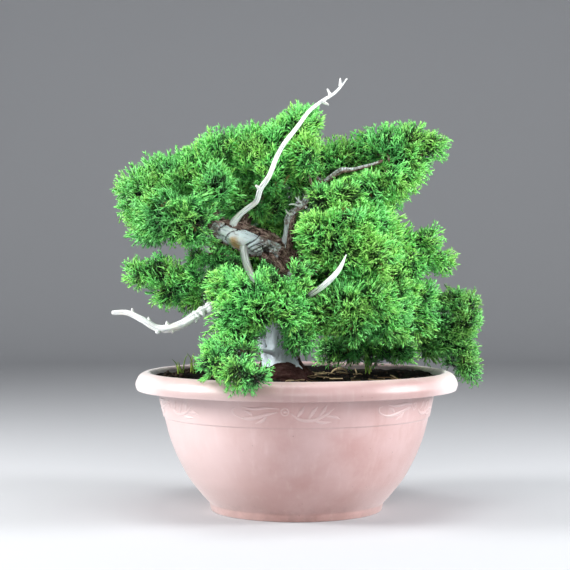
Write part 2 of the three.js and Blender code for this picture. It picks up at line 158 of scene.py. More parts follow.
class FinishTree:
    """A new material and the nodes in it."""

    def __init__(self, name: str) -> None:
        """Starts an empty material of this name."""
        self.material = bpy.data.materials.new(name)
        self.material.use_nodes = True
        self.nodes = self.material.node_tree.nodes
        self.links = self.material.node_tree.links
        self.nodes.clear()

    def add(
        self,
        kind: str,
        settings: Mapping[str, object] | None = None,
        inputs: Mapping[str | int, object] | None = None,
        output: str | int = 0,
    ) -> Term:
        """Adds a node of any kind.

        Args:
            kind: The node's type.
            settings: Its own settings; "stops" gives a ramp's places and colours.
            inputs: The values or links of its sockets, by name or number.
            output: The socket that is wanted from it.

        Returns:
            The wanted output.
        """
        node = self.nodes.new(kind)
        for name, value in (settings or {}).items():
            if name == "stops":
                ramp = node.color_ramp
                while len(ramp.elements) < len(value):
                    ramp.elements.new(1)
                for element, (place, tint) in zip(ramp.elements, value):
                    element.position = place
                    element.color = tint
            else:
                setattr(node, name, value)
        for name, value in (inputs or {}).items():
            if isinstance(value, Term):
                self.links.new(value.socket, node.inputs[name])
            else:
                node.inputs[name].default_value = value
        return Term(self, node.outputs[output])

    def places(self, scale: Sequence[float] = (1, 1, 1)) -> Term:
        """Object coordinates in millimetres, stretched by a scale."""
        found = self.add("ShaderNodeTexCoord", output="Object")
        return self.stretched(found, [s / MM for s in scale])

    def stretched(self, vector: Term, scale: Sequence[float]) -> Term:
        """A vector multiplied by three numbers."""
        return self.add(
            "ShaderNodeVectorMath", {"operation": "MULTIPLY"}, {0: vector, 1: tuple(scale)}
        )

    def attribute(self, name: str, output: str = "Fac") -> Term:
        """A value that the mesh carries on its points."""
        return self.add("ShaderNodeAttribute", {"attribute_name": name}, output=output)

    def noise(self, vector: Term, scale: float, detail: float = 3, roughness: float = 0.55) -> Term:
        """Cloudy noise from 0 to 1."""
        inputs = {"Vector": vector, "Scale": scale, "Detail": detail, "Roughness": roughness}
        return self.add("ShaderNodeTexNoise", {}, inputs)

    def cells(self, vector: Term, scale: float, feature: str = "F1") -> Term:
        """The distance to the nearest of many scattered points, or to the edge between two."""
        sockets = {"Vector": vector, "Scale": scale}
        return self.add("ShaderNodeTexVoronoi", {"feature": feature}, sockets, "Distance")

    def step(self, value: Term, low: float, high: float) -> Term:
        """A smooth step from 0 at low to 1 at high."""
        return self.add(
            "ShaderNodeMapRange",
            {"interpolation_type": "SMOOTHSTEP"},
            {"Value": value, "From Min": low, "From Max": high},
        )

    def coordinate(self, vector: Term, letter: str) -> Term:
        """One of a vector's three numbers, by its letter."""
        return self.add("ShaderNodeSeparateXYZ", {}, {0: vector}, letter)

    def away(self, vector: Term, spot: Place) -> Term:
        """How far a vector is from a spot."""
        settings = {"operation": "DISTANCE"}
        return self.add("ShaderNodeVectorMath", settings, {0: vector, 1: spot}, "Value")

    def mix(self, first: Term | Colour, second: Term | Colour, share: Term | float) -> Term:
        """Two colours mixed by a share from 0 to 1."""
        return self.add(
            "ShaderNodeMix",
            {"data_type": "RGBA", "clamp_factor": True},
            {0: share, 6: first, 7: second},
            2,
        )

    def bump(self, height: Term, distance: float, strength: float = 1) -> Term:
        """A normal that follows a height, given in millimetres at full height."""
        inputs = {"Height": height, "Distance": distance * MM, "Strength": strength}
        return self.add("ShaderNodeBump", {}, inputs)

    def finished(self, **sockets: object) -> bpy.types.Material:
        """Closes the tree with the surface shader.

        Args:
            sockets: The shader's sockets by name, with underscores for spaces.

        Returns:
            The material.
        """
        named = {name.replace("_", " "): value for name, value in sockets.items()}
        shader = self.add("ShaderNodeBsdfPrincipled", {}, named)
        output = self.nodes.new("ShaderNodeOutputMaterial")
        self.links.new(shader.socket, output.inputs["Surface"])
        return self.material


# Finishes.


@dataclass(frozen=True)
class BowlPlastic:
    """Terracotta-pink moulded plastic with scuffs, lime and splashed soil, and painted light and
    shade.
    """

    base: Colour = colour(190, 150, 148)
    pale: Colour = colour(222, 200, 198)
    deep: Colour = colour(174, 128, 116)
    painted_rim_shade: Colour = colour(150, 128, 126)
    painted_rim_highlight: Colour = colour(238, 228, 226)
    grime: Colour = colour(116, 92, 80)
    stain: Colour = colour(22, 15, 12)
    under_rim: tuple[float, float] = (111, 114)
    rim_ends: tuple[float, float] = (112, 142)
    stain_and_shade_line: tuple[float, float] = (132, 127.5)

    def material(self) -> bpy.types.Material:
        """Builds the material."""
        tree = FinishTree("bowl_plastic")
        place = tree.places()
        cloud = tree.noise(place, 0.02, 4, 0.6)
        streaks = tree.noise(tree.places((1, 1, 0.05)), 0.14, 3)
        tint = tree.mix(self.deep, self.pale, tree.step(cloud, 0.3, 0.72))
        tint = tree.mix(tint, self.base, 0.7)
        tint = tree.mix(tint, self.pale, tree.step(streaks, 0.52, 0.78) * 0.24)
        tint = tree.mix(tint, self.deep, tree.step(streaks, 0.42, 0.26) * 0.2)
        # Painted highlight: the raised garland is made paler, as where light catches its relief.
        tint = tree.mix(tint, self.pale, tree.attribute("raised") * 0.4)
        specks = tree.step(tree.cells(place, 0.09), 0.07, 0.03)
        tint = tree.mix(tint, self.grime, specks * 0.6)
        height = tree.coordinate(place, "Z")
        sideways = tree.coordinate(place, "X")
        # Painted highlight: the left side is made paler, as lit by the stronger light from the
        # left.
        tint = tree.mix(tint, self.pale, tree.step(sideways, 10, -100) * 0.62)
        # Painted shade: the rim, from its underside up, is darkened.
        tint = tree.mix(tint, self.painted_rim_shade, tree.step(height, *self.under_rim) * 0.33)
        # Painted highlight: the rim's far left and right ends are whitened, where the side lights
        # catch it.
        near, far = self.rim_ends
        tint = tree.mix(tint, self.painted_rim_highlight, tree.step(sideways * sideways, near**2, far**2) * 0.8)
        # Painted shade: darker towards the foot.
        tint = tree.mix(tint, self.deep, tree.step(height, 75, 5) * 0.4)
        dirt = tree.noise(place, 0.09, 5, 0.7)
        splash = tree.step(dirt - 0.5 * tree.step(height, 0, 30), 0.3, 0.62)
        tint = tree.mix(tint, self.grime, splash * 0.25)
        # The inner wall below the soil line is darkened: partly soil stain, partly painted shade.
        inside = tree.attribute("inside") * tree.step(height + 6 * dirt, *self.stain_and_shade_line)
        tint = tree.mix(tint, self.stain, inside * 0.92)
        grain = tree.noise(place, 1.6, 4, 0.7)
        scuffs = tree.noise(tree.places((0.3, 0.3, 2)), 0.3, 4, 0.7)
        return tree.finished(
            Base_Color=tint,
            Roughness=0.3 + 0.24 * scuffs,
            Specular_IOR_Level=0.75,
            Sheen_Weight=0.4,
            Sheen_Roughness=0.5,
            Normal=tree.bump(grain + scuffs, 0.2, 0.4),
        )


@dataclass(frozen=True)
class PottingSoil:
    """Dark, moist soil with a green bloom here and there."""

    wet: Colour = colour(8, 6, 5)
    dry: Colour = colour(28, 20, 15)
    bloom: Colour = colour(34, 48, 18)

    def material(self) -> bpy.types.Material:
        """Builds the material."""
        tree = FinishTree("potting_soil")
        place = tree.places()
        fine = tree.noise(place, 0.9, 5, 0.7)
        broad = tree.noise(place, 0.045, 3)
        tint = tree.mix(self.wet, self.dry, tree.step(fine, 0.42, 0.75) * 0.8)
        green = tree.step(broad, 0.56, 0.68) * tree.step(fine, 0.4, 0.6)
        tint = tree.mix(tint, self.bloom, green * 0.6)
        return tree.finished(
            Base_Color=tint,
            Roughness=0.86 + 0.1 * fine,
            Specular_IOR_Level=0.12,
            Normal=tree.bump(fine, 1.2),
        )


@dataclass(frozen=True)
class LooseFinish:
    """A finish for many small loose pieces, between two tones that each piece carries."""

    name: str
    dark: Colour
    light: Colour
    roughness: float = 0.85

    def material(self) -> bpy.types.Material:
        """Builds the material."""
        tree = FinishTree(self.name)
        grain = tree.noise(tree.places(), 1.1, 4, 0.65)
        share = tree.step(tree.attribute("tone") + 0.5 * grain, 0.1, 1.35)
        tint = tree.mix(self.dark, self.light, share)
        return tree.finished(
            Base_Color=tint,
            Roughness=self.roughness,
            Specular_IOR_Level=0.2,
            Normal=tree.bump(grain, 0.4),
        )


@dataclass(frozen=True)
class LivingWood:
    """Brown flaking bark with strips of grey bleached wood where it is lost."""

    bark: Colour = colour(136, 110, 101)
    bark_dark: Colour = colour(54, 38, 35)
    bark_light: Colour = colour(206, 184, 174)
    damp: Colour = colour(48, 17, 13)
    bare: Colour = colour(236, 244, 246)
    bare_grey: Colour = colour(184, 197, 202)
    ochre: Colour = colour(222, 176, 116)
    crack: Colour = colour(32, 25, 23)
    pale: Colour = colour(234, 247, 255)
    ochre_place: Place = (-54.0, -25.0, 244.0)
    pale_place: Place = (-45.0, -26.0, 252.0)
    damp_height: tuple[float, float] = (160, 142)
    sunlit_height: tuple[float, float] = (192, 168)

    def material(self) -> bpy.types.Material:
        """Builds the material."""
        tree = FinishTree("living_wood")
        place = tree.places()
        fibre = tree.attribute("fibre", "Vector")
        strands = tree.noise(tree.stretched(fibre, (1, 1, 0.09)), 0.6, 5, 0.65)
        flakes = tree.noise(tree.stretched(fibre, (1, 1, 0.4)), 0.5, 5, 0.75)
        broad = tree.noise(place, 0.05, 3)
        brown = tree.mix(self.bark_dark, self.bark, tree.step(flakes, 0.42, 0.52))
        brown = tree.mix(brown, self.bark_light, tree.step(flakes, 0.53, 0.64) * 0.85)
        height = tree.coordinate(place, "Z")
        damp = tree.step(height + 16 * broad, *self.damp_height)
        brown = tree.mix(brown, self.damp, damp * 0.9)
        grey = tree.mix(self.bare_grey, self.bare, tree.step(strands + 0.5 * broad, 0.5, 0.85))
        stain = tree.away(place, self.ochre_place)
        grey = tree.mix(grey, self.ochre, tree.step(stain + 10 * flakes, 16, 12) * 0.9)
        patch = tree.away(place, self.pale_place)
        grey = tree.mix(grey, self.pale, tree.step(patch + 8 * flakes, 17, 11) * 0.8)
        stained = tree.step(flakes, 0.53, 0.66) * tree.step(broad, 0.36, 0.55)
        grey = tree.mix(grey, self.bark, stained * 0.65)
        grey = tree.mix(grey, self.pale, tree.step(height, *self.sunlit_height) * 0.85)
        gnarl = tree.attribute("gnarl")
        folds = tree.noise(tree.stretched(fibre, (0.16, 0.16, 1)), 0.62, 4, 0.6)
        grey = tree.mix(grey, self.bark_dark, gnarl * tree.step(folds, 0.53, 0.42) * 0.6)
        grey = tree.mix(grey, self.bark, gnarl * tree.step(flakes, 0.45, 0.56) * 0.8)
        bare = tree.step(tree.attribute("bare") + 2.4 * (flakes - 0.5), -0.35, 0.35)
        tint = tree.mix(brown, grey, bare)
        # Dark in cracks and creases, and in the knots' pits, where the darkness is partly painted
        # shade.
        tint = tree.mix(tint, self.crack, tree.step(tree.attribute("crack"), 0.25, 0.85) * 0.85)
        relief = flakes * (1 - bare) + 0.5 * strands * bare
        return tree.finished(
            Base_Color=tint,
            Roughness=0.7 + 0.2 * flakes,
            Specular_IOR_Level=0.2,
            Normal=tree.bump(relief, 1.2),
        )


@dataclass(frozen=True)
class BleachedWood:
    """Deadwood: nearly white, grey along the grain, dark in its cracks and, as painted shade, in
    grooves.
    """

    white: Colour = colour(248, 251, 250)
    cream: Colour = colour(234, 226, 208)
    grey: Colour = colour(186, 193, 194)
    crack: Colour = colour(62, 52, 46)

    def material(self) -> bpy.types.Material:
        """Builds the material."""
        tree = FinishTree("bleached_wood")
        fibre = tree.attribute("fibre", "Vector")
        strands = tree.noise(tree.stretched(fibre, (1, 1, 0.07)), 1.1, 5, 0.65)
        broad = tree.noise(tree.places(), 0.07, 3)
        tint = tree.mix(self.grey, self.white, tree.step(strands, 0.34, 0.52))
        tint = tree.mix(tint, self.cream, tree.step(broad, 0.52, 0.7) * 0.5)
        # Dark where the crack mark is: in cracks, and in the coils' grooves as painted shade.
        tint = tree.mix(tint, self.crack, tree.step(tree.attribute("crack"), 0.3, 0.95) * 0.8)
        return tree.finished(
            Base_Color=tint, Roughness=0.6 + 0.25 * strands, Normal=tree.bump(strands, 0.5)
        )


@dataclass(frozen=True)
class ScaleLeaves:
    """Scale foliage: bright at the tips, deep inside, with a few dry shoots."""

    deep: Colour = colour(16, 44, 20)
    mid: Colour = colour(72, 184, 74)
    bright: Colour = colour(150, 254, 132)
    yellow: Colour = colour(186, 230, 96)
    blue: Colour = colour(62, 176, 112)
    dry: Colour = colour(150, 92, 56)

    def material(self) -> bpy.types.Material:
        """Builds the material."""
        tree = FinishTree("scale_leaves")
        tone = tree.attribute("tone")
        along = tree.attribute("along")
        out = tree.attribute("out")
        patches = tree.noise(tree.places(), 0.035, 2) + 0.1 * tree.attribute("hue")
        tint = tree.mix(self.mid, self.bright, tree.step(along + 0.5 * tone, 0.4, 1.2) * 0.95)
        tint = tree.mix(tint, self.blue, tree.step(patches, 0.49, 0.36) * 0.32)
        tint = tree.mix(tint, self.yellow, tree.step(patches + 0.3 * tone, 0.6, 0.86) * 0.46)
        lit = tree.step(0.7 * out + 0.4 * along + 0.34 * tone, 0.6, 1.1)
        tint = tree.mix(self.deep, tint, lit)
        tint = tree.mix(tint, self.deep, tree.attribute("shade"))
        tint = tree.mix(tint, self.dry, tree.attribute("dry"))
        scales = tree.add("ShaderNodeMath", {"operation": "SINE"}, {0: along * 70.0})
        return tree.finished(
            Base_Color=tint, Roughness=0.44 + 0.16 * patches, Normal=tree.bump(scales, 0.1, 0.7)
        )


@dataclass(frozen=True)
class TwigBark:
    """Thin grey-brown bark, greenish on the youngest shoots."""

    grey: Colour = colour(156, 140, 132)
    brown: Colour = colour(102, 72, 56)
    young: Colour = colour(104, 112, 52)

    def material(self) -> bpy.types.Material:
        """Builds the material."""
        tree = FinishTree("twig_bark")
        grain = tree.noise(tree.stretched(tree.attribute("fibre", "Vector"), (1, 1, 0.3)), 0.9, 4)
        tint = tree.mix(self.brown, self.grey, tree.step(grain, 0.4, 0.62))
        tint = tree.mix(tint, self.young, tree.attribute("tone") * 0.7)
        return tree.finished(Base_Color=tint, Roughness=0.8, Normal=tree.bump(grain, 0.4))


@dataclass(frozen=True)
class StudioPaper:
    """The plain pale paper of the floor and backdrop."""

    pale: Colour = (0.5, 0.51, 0.53, 1.0)

    def material(self) -> bpy.types.Material:
        """Builds the material."""
        return FinishTree("studio_paper").finished(Base_Color=self.pale, Roughness=0.9)


# Meshes.


def set_values(mesh: bpy.types.Mesh, name: str, values: np.ndarray) -> None:
    """Stores one value or vector for each point of a mesh.

    Args:
        mesh: The mesh.
        name: The attribute's name.
        values: One number for each point, or one row of three.
    """
    kind, key = ("FLOAT", "value") if values.ndim == 1 else ("FLOAT_VECTOR", "vector")
    found = mesh.attributes.get(name) or mesh.attributes.new(name, kind, "POINT")
    found.data.foreach_set(key, values.astype(np.float32).ravel())


def set_value(mesh: bpy.types.Mesh, name: str, value: float) -> None:
    """Stores the same value on every point of a mesh."""
    set_values(mesh, name, np.full(len(mesh.vertices), value))


def rows_of(items: bpy.types.bpy_prop_collection, key: str) -> np.ndarray:
    """One vector of each item, one row each."""
    found = np.empty(len(items) * 3, np.float32)
    items.foreach_get(key, found)
    return found.reshape(-1, 3).astype(float)


def get_places(mesh: bpy.types.Mesh) -> np.ndarray:
    """The places of a mesh's points, one row each."""
    return rows_of(mesh.vertices, "co")


def set_places(mesh: bpy.types.Mesh, places: np.ndarray) -> None:
    """Moves a mesh's points to new places."""
    mesh.vertices.foreach_set("co", places.astype(np.float32).ravel())
    mesh.update()


def mesh_from(shape: bmesh.types.BMesh, name: str) -> bpy.types.Mesh:
    """Turns a bmesh into a mesh of its own and frees it."""
    mesh = bpy.data.meshes.new(name)
    shape.to_mesh(mesh)
    shape.free()
    return mesh


def joined(meshes: Sequence[bpy.types.Mesh], name: str) -> bpy.types.Mesh:
    """Joins meshes into one and removes them.

    Args:
        meshes: The meshes, all in the same place and scale.
        name: The new mesh's name.

    Returns:
        The joined mesh.
    """
    shape = bmesh.new()
    for mesh in meshes:
        shape.from_mesh(mesh)
        bpy.data.meshes.remove(mesh)
    return mesh_from(shape, name)


def placed(name: str, data: bpy.types.ID) -> bpy.types.Object:
    """A new object in the scene that shows this data."""
    item = bpy.data.objects.new(name, data)
    bpy.context.scene.collection.objects.link(item)
    return item


def applied(mesh: bpy.types.Mesh, kind: str, **settings: object) -> bpy.types.Mesh:
    """Runs one modifier on a mesh.

    Args:
        mesh: The mesh, which is removed.
        kind: The modifier's type.
        settings: The modifier's own settings.

    Returns:
        The changed mesh.
    """
    holder = placed("holder", mesh)
    modifier = holder.modifiers.new("work", kind)
    for name, value in settings.items():
        setattr(modifier, name, value)
    graph = bpy.context.evaluated_depsgraph_get()
    found = bpy.data.meshes.new_from_object(holder.evaluated_get(graph))
    bpy.data.objects.remove(holder)
    bpy.data.meshes.remove(mesh)
    return found


def spun(profile: Sequence[tuple[float, float]], steps: int, name: str) -> bpy.types.Mesh:
    """Turns a line of radius and height once round the upright axis.

    Args:
        profile: The line's points.
        steps: Faces round the shape.
        name: The mesh's name.

    Returns:
        The closed mesh.
    """
    shape = bmesh.new()
    points = [shape.verts.new((radius, 0, height)) for radius, height in profile]
    edges = [shape.edges.new(pair) for pair in zip(points, points[1:])]
    bmesh.ops.spin(
        shape,
        geom=points + edges,
        axis=(0, 0, 1),
        cent=(0, 0, 0),
        angle=2 * math.pi,
        steps=steps,
        use_merge=True,
    )
    bmesh.ops.remove_doubles(shape, verts=shape.verts, dist=1e-4)
    bmesh.ops.recalc_face_normals(shape, faces=shape.faces)
    return mesh_from(shape, name)


def rounded(corners: Sequence[Place], steps: int) -> list[tuple[float, float]]:
    """A line whose corners are rounded.

    Args:
        corners: Radius and height of each corner, and how far its rounding reaches along the line.
        steps: Points on each rounding.

    Returns:
        The points of the line.
    """
    found = []
    for i, (x, z, reach) in enumerate(corners):
        if not reach:
            found.append((x, z))
            continue
        here = Vector((x, z))
        before = here + (Vector(corners[i - 1][:2]) - here).normalized() * reach
        after = here + (Vector(corners[i + 1][:2]) - here).normalized() * reach
        for step in range(steps + 1):
            t = step / steps
            spot = before * (1 - t) ** 2 + here * 2 * t * (1 - t) + after * t**2
            found.append((spot.x, spot.y))
    return found


def clouds(places: np.ndarray, octaves: int = 3) -> np.ndarray:
    """Cloudy values from about -1 to 1, one for each row of places."""
    return np.array([noise.fractal(place, 1.0, 2.0, octaves) for place in places.tolist()])


def smooth(values: np.ndarray, low: float, high: float) -> np.ndarray:
    """A smooth step from 0 at low to 1 at high."""
    share = np.clip((values - low) / (high - low), 0, 1)
    return share * share * (3 - 2 * share)


def unit(vectors: np.ndarray) -> np.ndarray:
    """The vectors at length 1."""
    return vectors / np.maximum(np.linalg.norm(vectors, axis=-1, keepdims=True), 1e-9)


def publish(
    mesh: bpy.types.Mesh,
    name: str,
    finish: bpy.types.Material,
    nodes: Sequence[str] = (),
    sharp_degrees: float | None = None,
) -> None:
    """Makes a finished mesh a piece of the part.

    Args:
        mesh: The mesh, in millimetres.
        name: The piece's name.
        finish: Its material.
        nodes: The solids that it stands for.
        sharp_degrees: Edges sharper than this stay sharp; none where it isn't given.
    """
    mesh.transform(Matrix.Scale(MM, 4))
    mesh.name = name
    mesh.materials.clear()
    mesh.materials.append(finish)
    mesh.shade_smooth()
    if sharp_degrees:
        mesh.set_sharp_from_angle(angle=math.radians(sharp_degrees))
    piece = placed(name, mesh)
    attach(piece, BODY)
    if nodes:
        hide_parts(*nodes)
    mesh.calc_loop_triangles()
    LOG.info("%s: %d triangles", name, len(mesh.loop_triangles))


Relief = Callable[[np.ndarray, np.ndarray, np.ndarray, np.ndarray], np.ndarray]


class Course:
    """A limb's centre line, sampled closely, with a frame that doesn't twist along it."""

    def __init__(self, rows: Sequence[Row], steps: int = 6) -> None:
        """Samples the curve that passes every row.

        Args:
            rows: x, y, z and radius of each place that the limb passes.
            steps: Samples for each stretch between two rows.
        """
        samples = self._through(np.array(rows, float), steps)
        self.places = samples[:, :3]
        self.radii = np.maximum(samples[:, 3], 0.05)
        lengths = np.linalg.norm(np.diff(self.places, axis=0), axis=1)
        self.along = np.concatenate([[0], np.cumsum(lengths)])
        self.share = np.linspace(0, 1, len(samples))
        self.ahead = unit(np.gradient(self.places, axis=0))
        self.normal = self._carried()
        self.side = np.cross(self.ahead, self.normal)

    @staticmethod
    def _through(rows: np.ndarray, steps: int) -> np.ndarray:
        """Points on the centripetal curve through the rows."""
        if len(rows) == 2:
            return rows[0] + np.linspace(0, 1, steps + 1)[:, None] * (rows[1] - rows[0])
        knots = np.vstack([2 * rows[0] - rows[1], rows, 2 * rows[-1] - rows[-2]])
        spans = []
        for i in range(len(rows) - 1):
            a, b, c, d = knots[i : i + 4]
            pairs = ((a, b), (b, c), (c, d))
            gaps = [max(math.dist(p[:3], q[:3]), 1e-6) ** 0.5 for p, q in pairs]
            t0, t1, t2, t3 = 0.0, gaps[0], gaps[0] + gaps[1], sum(gaps)
            t = np.linspace(t1, t2, steps, endpoint=False)[:, None]
            ab = ((t1 - t) * a + (t - t0) * b) / (t1 - t0)
            bc = ((t2 - t) * b + (t - t1) * c) / (t2 - t1)
            cd = ((t3 - t) * c + (t - t2) * d) / (t3 - t2)
            left = ((t2 - t) * ab + (t - t0) * bc) / (t2 - t0)
            right = ((t3 - t) * bc + (t - t1) * cd) / (t3 - t1)
            spans.append(((t2 - t) * left + (t - t1) * right) / (t2 - t1))
        return np.vstack([*spans, rows[-1:]])

    def _carried(self) -> np.ndarray:
        """A normal at each sample, carried along without twisting."""
        first = self.ahead[0]
        start = np.array([0, 0, 1.0]) if abs(first[2]) < 0.9 else np.array([1.0, 0, 0])
        normal = np.cross(start, first)
        found = []
        for ahead in self.ahead:
            normal = unit(normal - normal.dot(ahead) * ahead)
            found.append(normal)
        return np.array(found)

    def skin(self, columns: int, relief: Relief | None = None) -> bpy.types.Mesh:
        """Wraps a grid round the limb and closes its ends.

        Args:
            columns: Faces round the limb.
            relief: Gives the height over the round surface from the turn, the length along the
                limb, the share of the limb and the radius.

        Returns:
            The mesh, which carries its fibre directions.
        """
        last = len(self.places) - 1
        rings = [(i, 1.0, 0.0) for i in range(last + 1)]
        rings += [(last, 0.72, 0.5 * self.radii[-1]), (last, 0.0, 0.75 * self.radii[-1])]
        row, shrink, push = (np.array(values) for values in zip(*rings))
        shape = bmesh.new()
        bmesh.ops.create_grid(shape, x_segments=columns, y_segments=len(row) - 1, size=0.5)
        mesh = mesh_from(shape, "limb")
        flat = get_places(mesh)
        turn = (flat[:, 0] + 0.5) * 2 * math.pi
        step = np.rint((flat[:, 1] + 0.5) * (len(row) - 1)).astype(int)
        row = row[step]
        radius = self.radii[row]
        if relief:
            radius = radius + relief(turn, self.along[row], self.share[row], radius)
        out = self.normal[row] * np.cos(turn)[:, None] - self.side[row] * np.sin(turn)[:, None]
        spots = self.places[row] + out * (radius * shrink[step])[:, None]
        set_places(mesh, spots + self.ahead[row] * push[step][:, None])
        around = self.radii[row]
        fibre = [around * np.cos(turn), around * np.sin(turn), self.along[row]]
        set_values(mesh, "fibre", np.stack(fibre, 1))
        shape = bmesh.new()
        shape.from_mesh(mesh)
        bpy.data.meshes.remove(mesh)
        bmesh.ops.remove_doubles(shape, verts=shape.verts, dist=1e-4)
        bmesh.ops.holes_fill(shape, edges=[edge for edge in shape.edges if edge.is_boundary])
        bmesh.ops.recalc_face_normals(shape, faces=shape.faces)
        return mesh_from(shape, "limb")


class Stretches:
    """Limbs kept as short straight stretches, to find the one nearest to a place."""

    def __init__(self, courses: Sequence[Course]) -> None:
        """Gathers the stretches of all the limbs."""
        self.courses = courses
        self.start = np.vstack([c.places[:-1] for c in courses])
        self.span = np.vstack([np.diff(c.places, axis=0) for c in courses])
        self.radius = np.concatenate([c.radii[:-1] for c in courses])
        self.growth = np.concatenate([np.diff(c.radii) for c in courses])
        self.limb = np.concatenate([np.full(len(c.places) - 1, i) for i, c in enumerate(courses)])
        self.row = np.concatenate([np.arange(len(c.places) - 1) for c in courses])

    def nearest(self, places: np.ndarray) -> tuple[np.ndarray, np.ndarray, np.ndarray]:
        """Finds the nearest stretch to each place.

        Args:
            places: The places, one row each.

        Returns:
            The distance from each place to the limb's surface, the stretch and the share along it.
        """
        length = (self.span**2).sum(1)
        found = []
        for group in np.array_split(places, max(1, len(places) // 2000)):
            off = group[:, None] - self.start[None]
            share = np.clip((off * self.span).sum(2) / length, 0, 1)
            gap = np.linalg.norm(off - share[..., None] * self.span, axis=2)
            gap -= self.radius + share * self.growth
            best = gap.argmin(1)
            rows = np.arange(len(group))
            found.append((gap[rows, best], best, share[rows, best]))
        gaps, stretches, shares = zip(*found)
        return np.concatenate(gaps), np.concatenate(stretches), np.concatenate(shares)


class Copies:
    """Many small copies of a few template meshes, joined into one mesh."""

    def __init__(self, templates: Sequence[bpy.types.Mesh]) -> None:
        """Keeps the templates and starts an empty shape."""
        self.templates = [mesh.copy() for mesh in templates]
        self.places = [get_places(mesh) for mesh in templates]
        self.shape = bmesh.new()

    def add(
        self, which: int, turn: np.ndarray, place: np.ndarray, **values: float | np.ndarray
    ) -> None:
        """Adds one copy.

        Args:
            which: The template's number.
            turn: A matrix that turns and scales the template.
            place: Where the template's origin goes.
            values: The copy's attributes, as one number or one for each point.
        """
        mesh = self.templates[which]
        spots = self.places[which] @ turn.T + place
        mesh.vertices.foreach_set("co", spots.astype(np.float32).ravel())
        for name, value in values.items():
            set_values(mesh, name, np.broadcast_to(value, len(spots)))
        self.shape.from_mesh(mesh)

    def mesh(self, name: str) -> bpy.types.Mesh:
        """All the copies as one mesh."""
        for template in self.templates:
            bpy.data.meshes.remove(template)
        return mesh_from(self.shape, name)


@dataclass(frozen=True)
class Grain:
    """Ridges and cracks that run along a limb and wander a little round it."""

    seed: int
    ridges: tuple[tuple[int, float], ...] = (
        (2, 0.06), (3, 0.06), (5, 0.05), (8, 0.035), (13, 0.02),
    )
    cracks: int = 5
    crack_depth: float = 0.2
    crack_width: float = 0.15
    twist: float = 0.01

    def height(self, turn: np.ndarray, along: np.ndarray, radius: np.ndarray) -> np.ndarray:
        """The height of the ridges over the round surface, in millimetres."""
        draw = np.random.default_rng(self.seed)
        total = np.zeros_like(turn)
        for lobes, depth in self.ridges:
            phase = draw.uniform(0, 2 * math.pi)
            sway = 0.9 * np.sin(along * draw.uniform(0.03, 0.08) + phase)
            wound = lobes * turn + phase + self.twist * lobes * along + sway
            total += depth * radius * np.sin(wound)
        return total

    def crack(self, turn: np.ndarray, along: np.ndarray) -> np.ndarray:
        """How deep in a crack each place lies, from 0 on the surface to 1 at its bottom."""
        draw = np.random.default_rng(self.seed + 1)
        total = np.zeros_like(turn)
        for _ in range(self.cracks):
            centre = draw.uniform(0, 2 * math.pi)
            sway = 0.35 * np.sin(along * draw.uniform(0.04, 0.12) + draw.uniform(0, 6))
            sway = sway + 0.08 * np.sin(along * draw.uniform(0.5, 1.1))
            off = np.angle(np.exp(1j * (turn - centre - sway - self.twist * along)))
            opens = 0.5 + 0.5 * np.sin(along * draw.uniform(0.06, 0.16) + draw.uniform(0, 6))
            opens = np.clip(1.6 * opens - 0.4, 0, 1)
            total = np.maximum(total, opens * np.exp(-((off / self.crack_width) ** 2)))
        return total

    def relief(
        self, turn: np.ndarray, along: np.ndarray, share: np.ndarray, radius: np.ndarray
    ) -> np.ndarray:
        """Ridges less cracks, in the form that a limb's skin asks for."""
        sunk = self.crack_depth * radius * self.crack(turn, along)
        return self.height(turn, along, radius) - sunk


# The bowl and its soil.


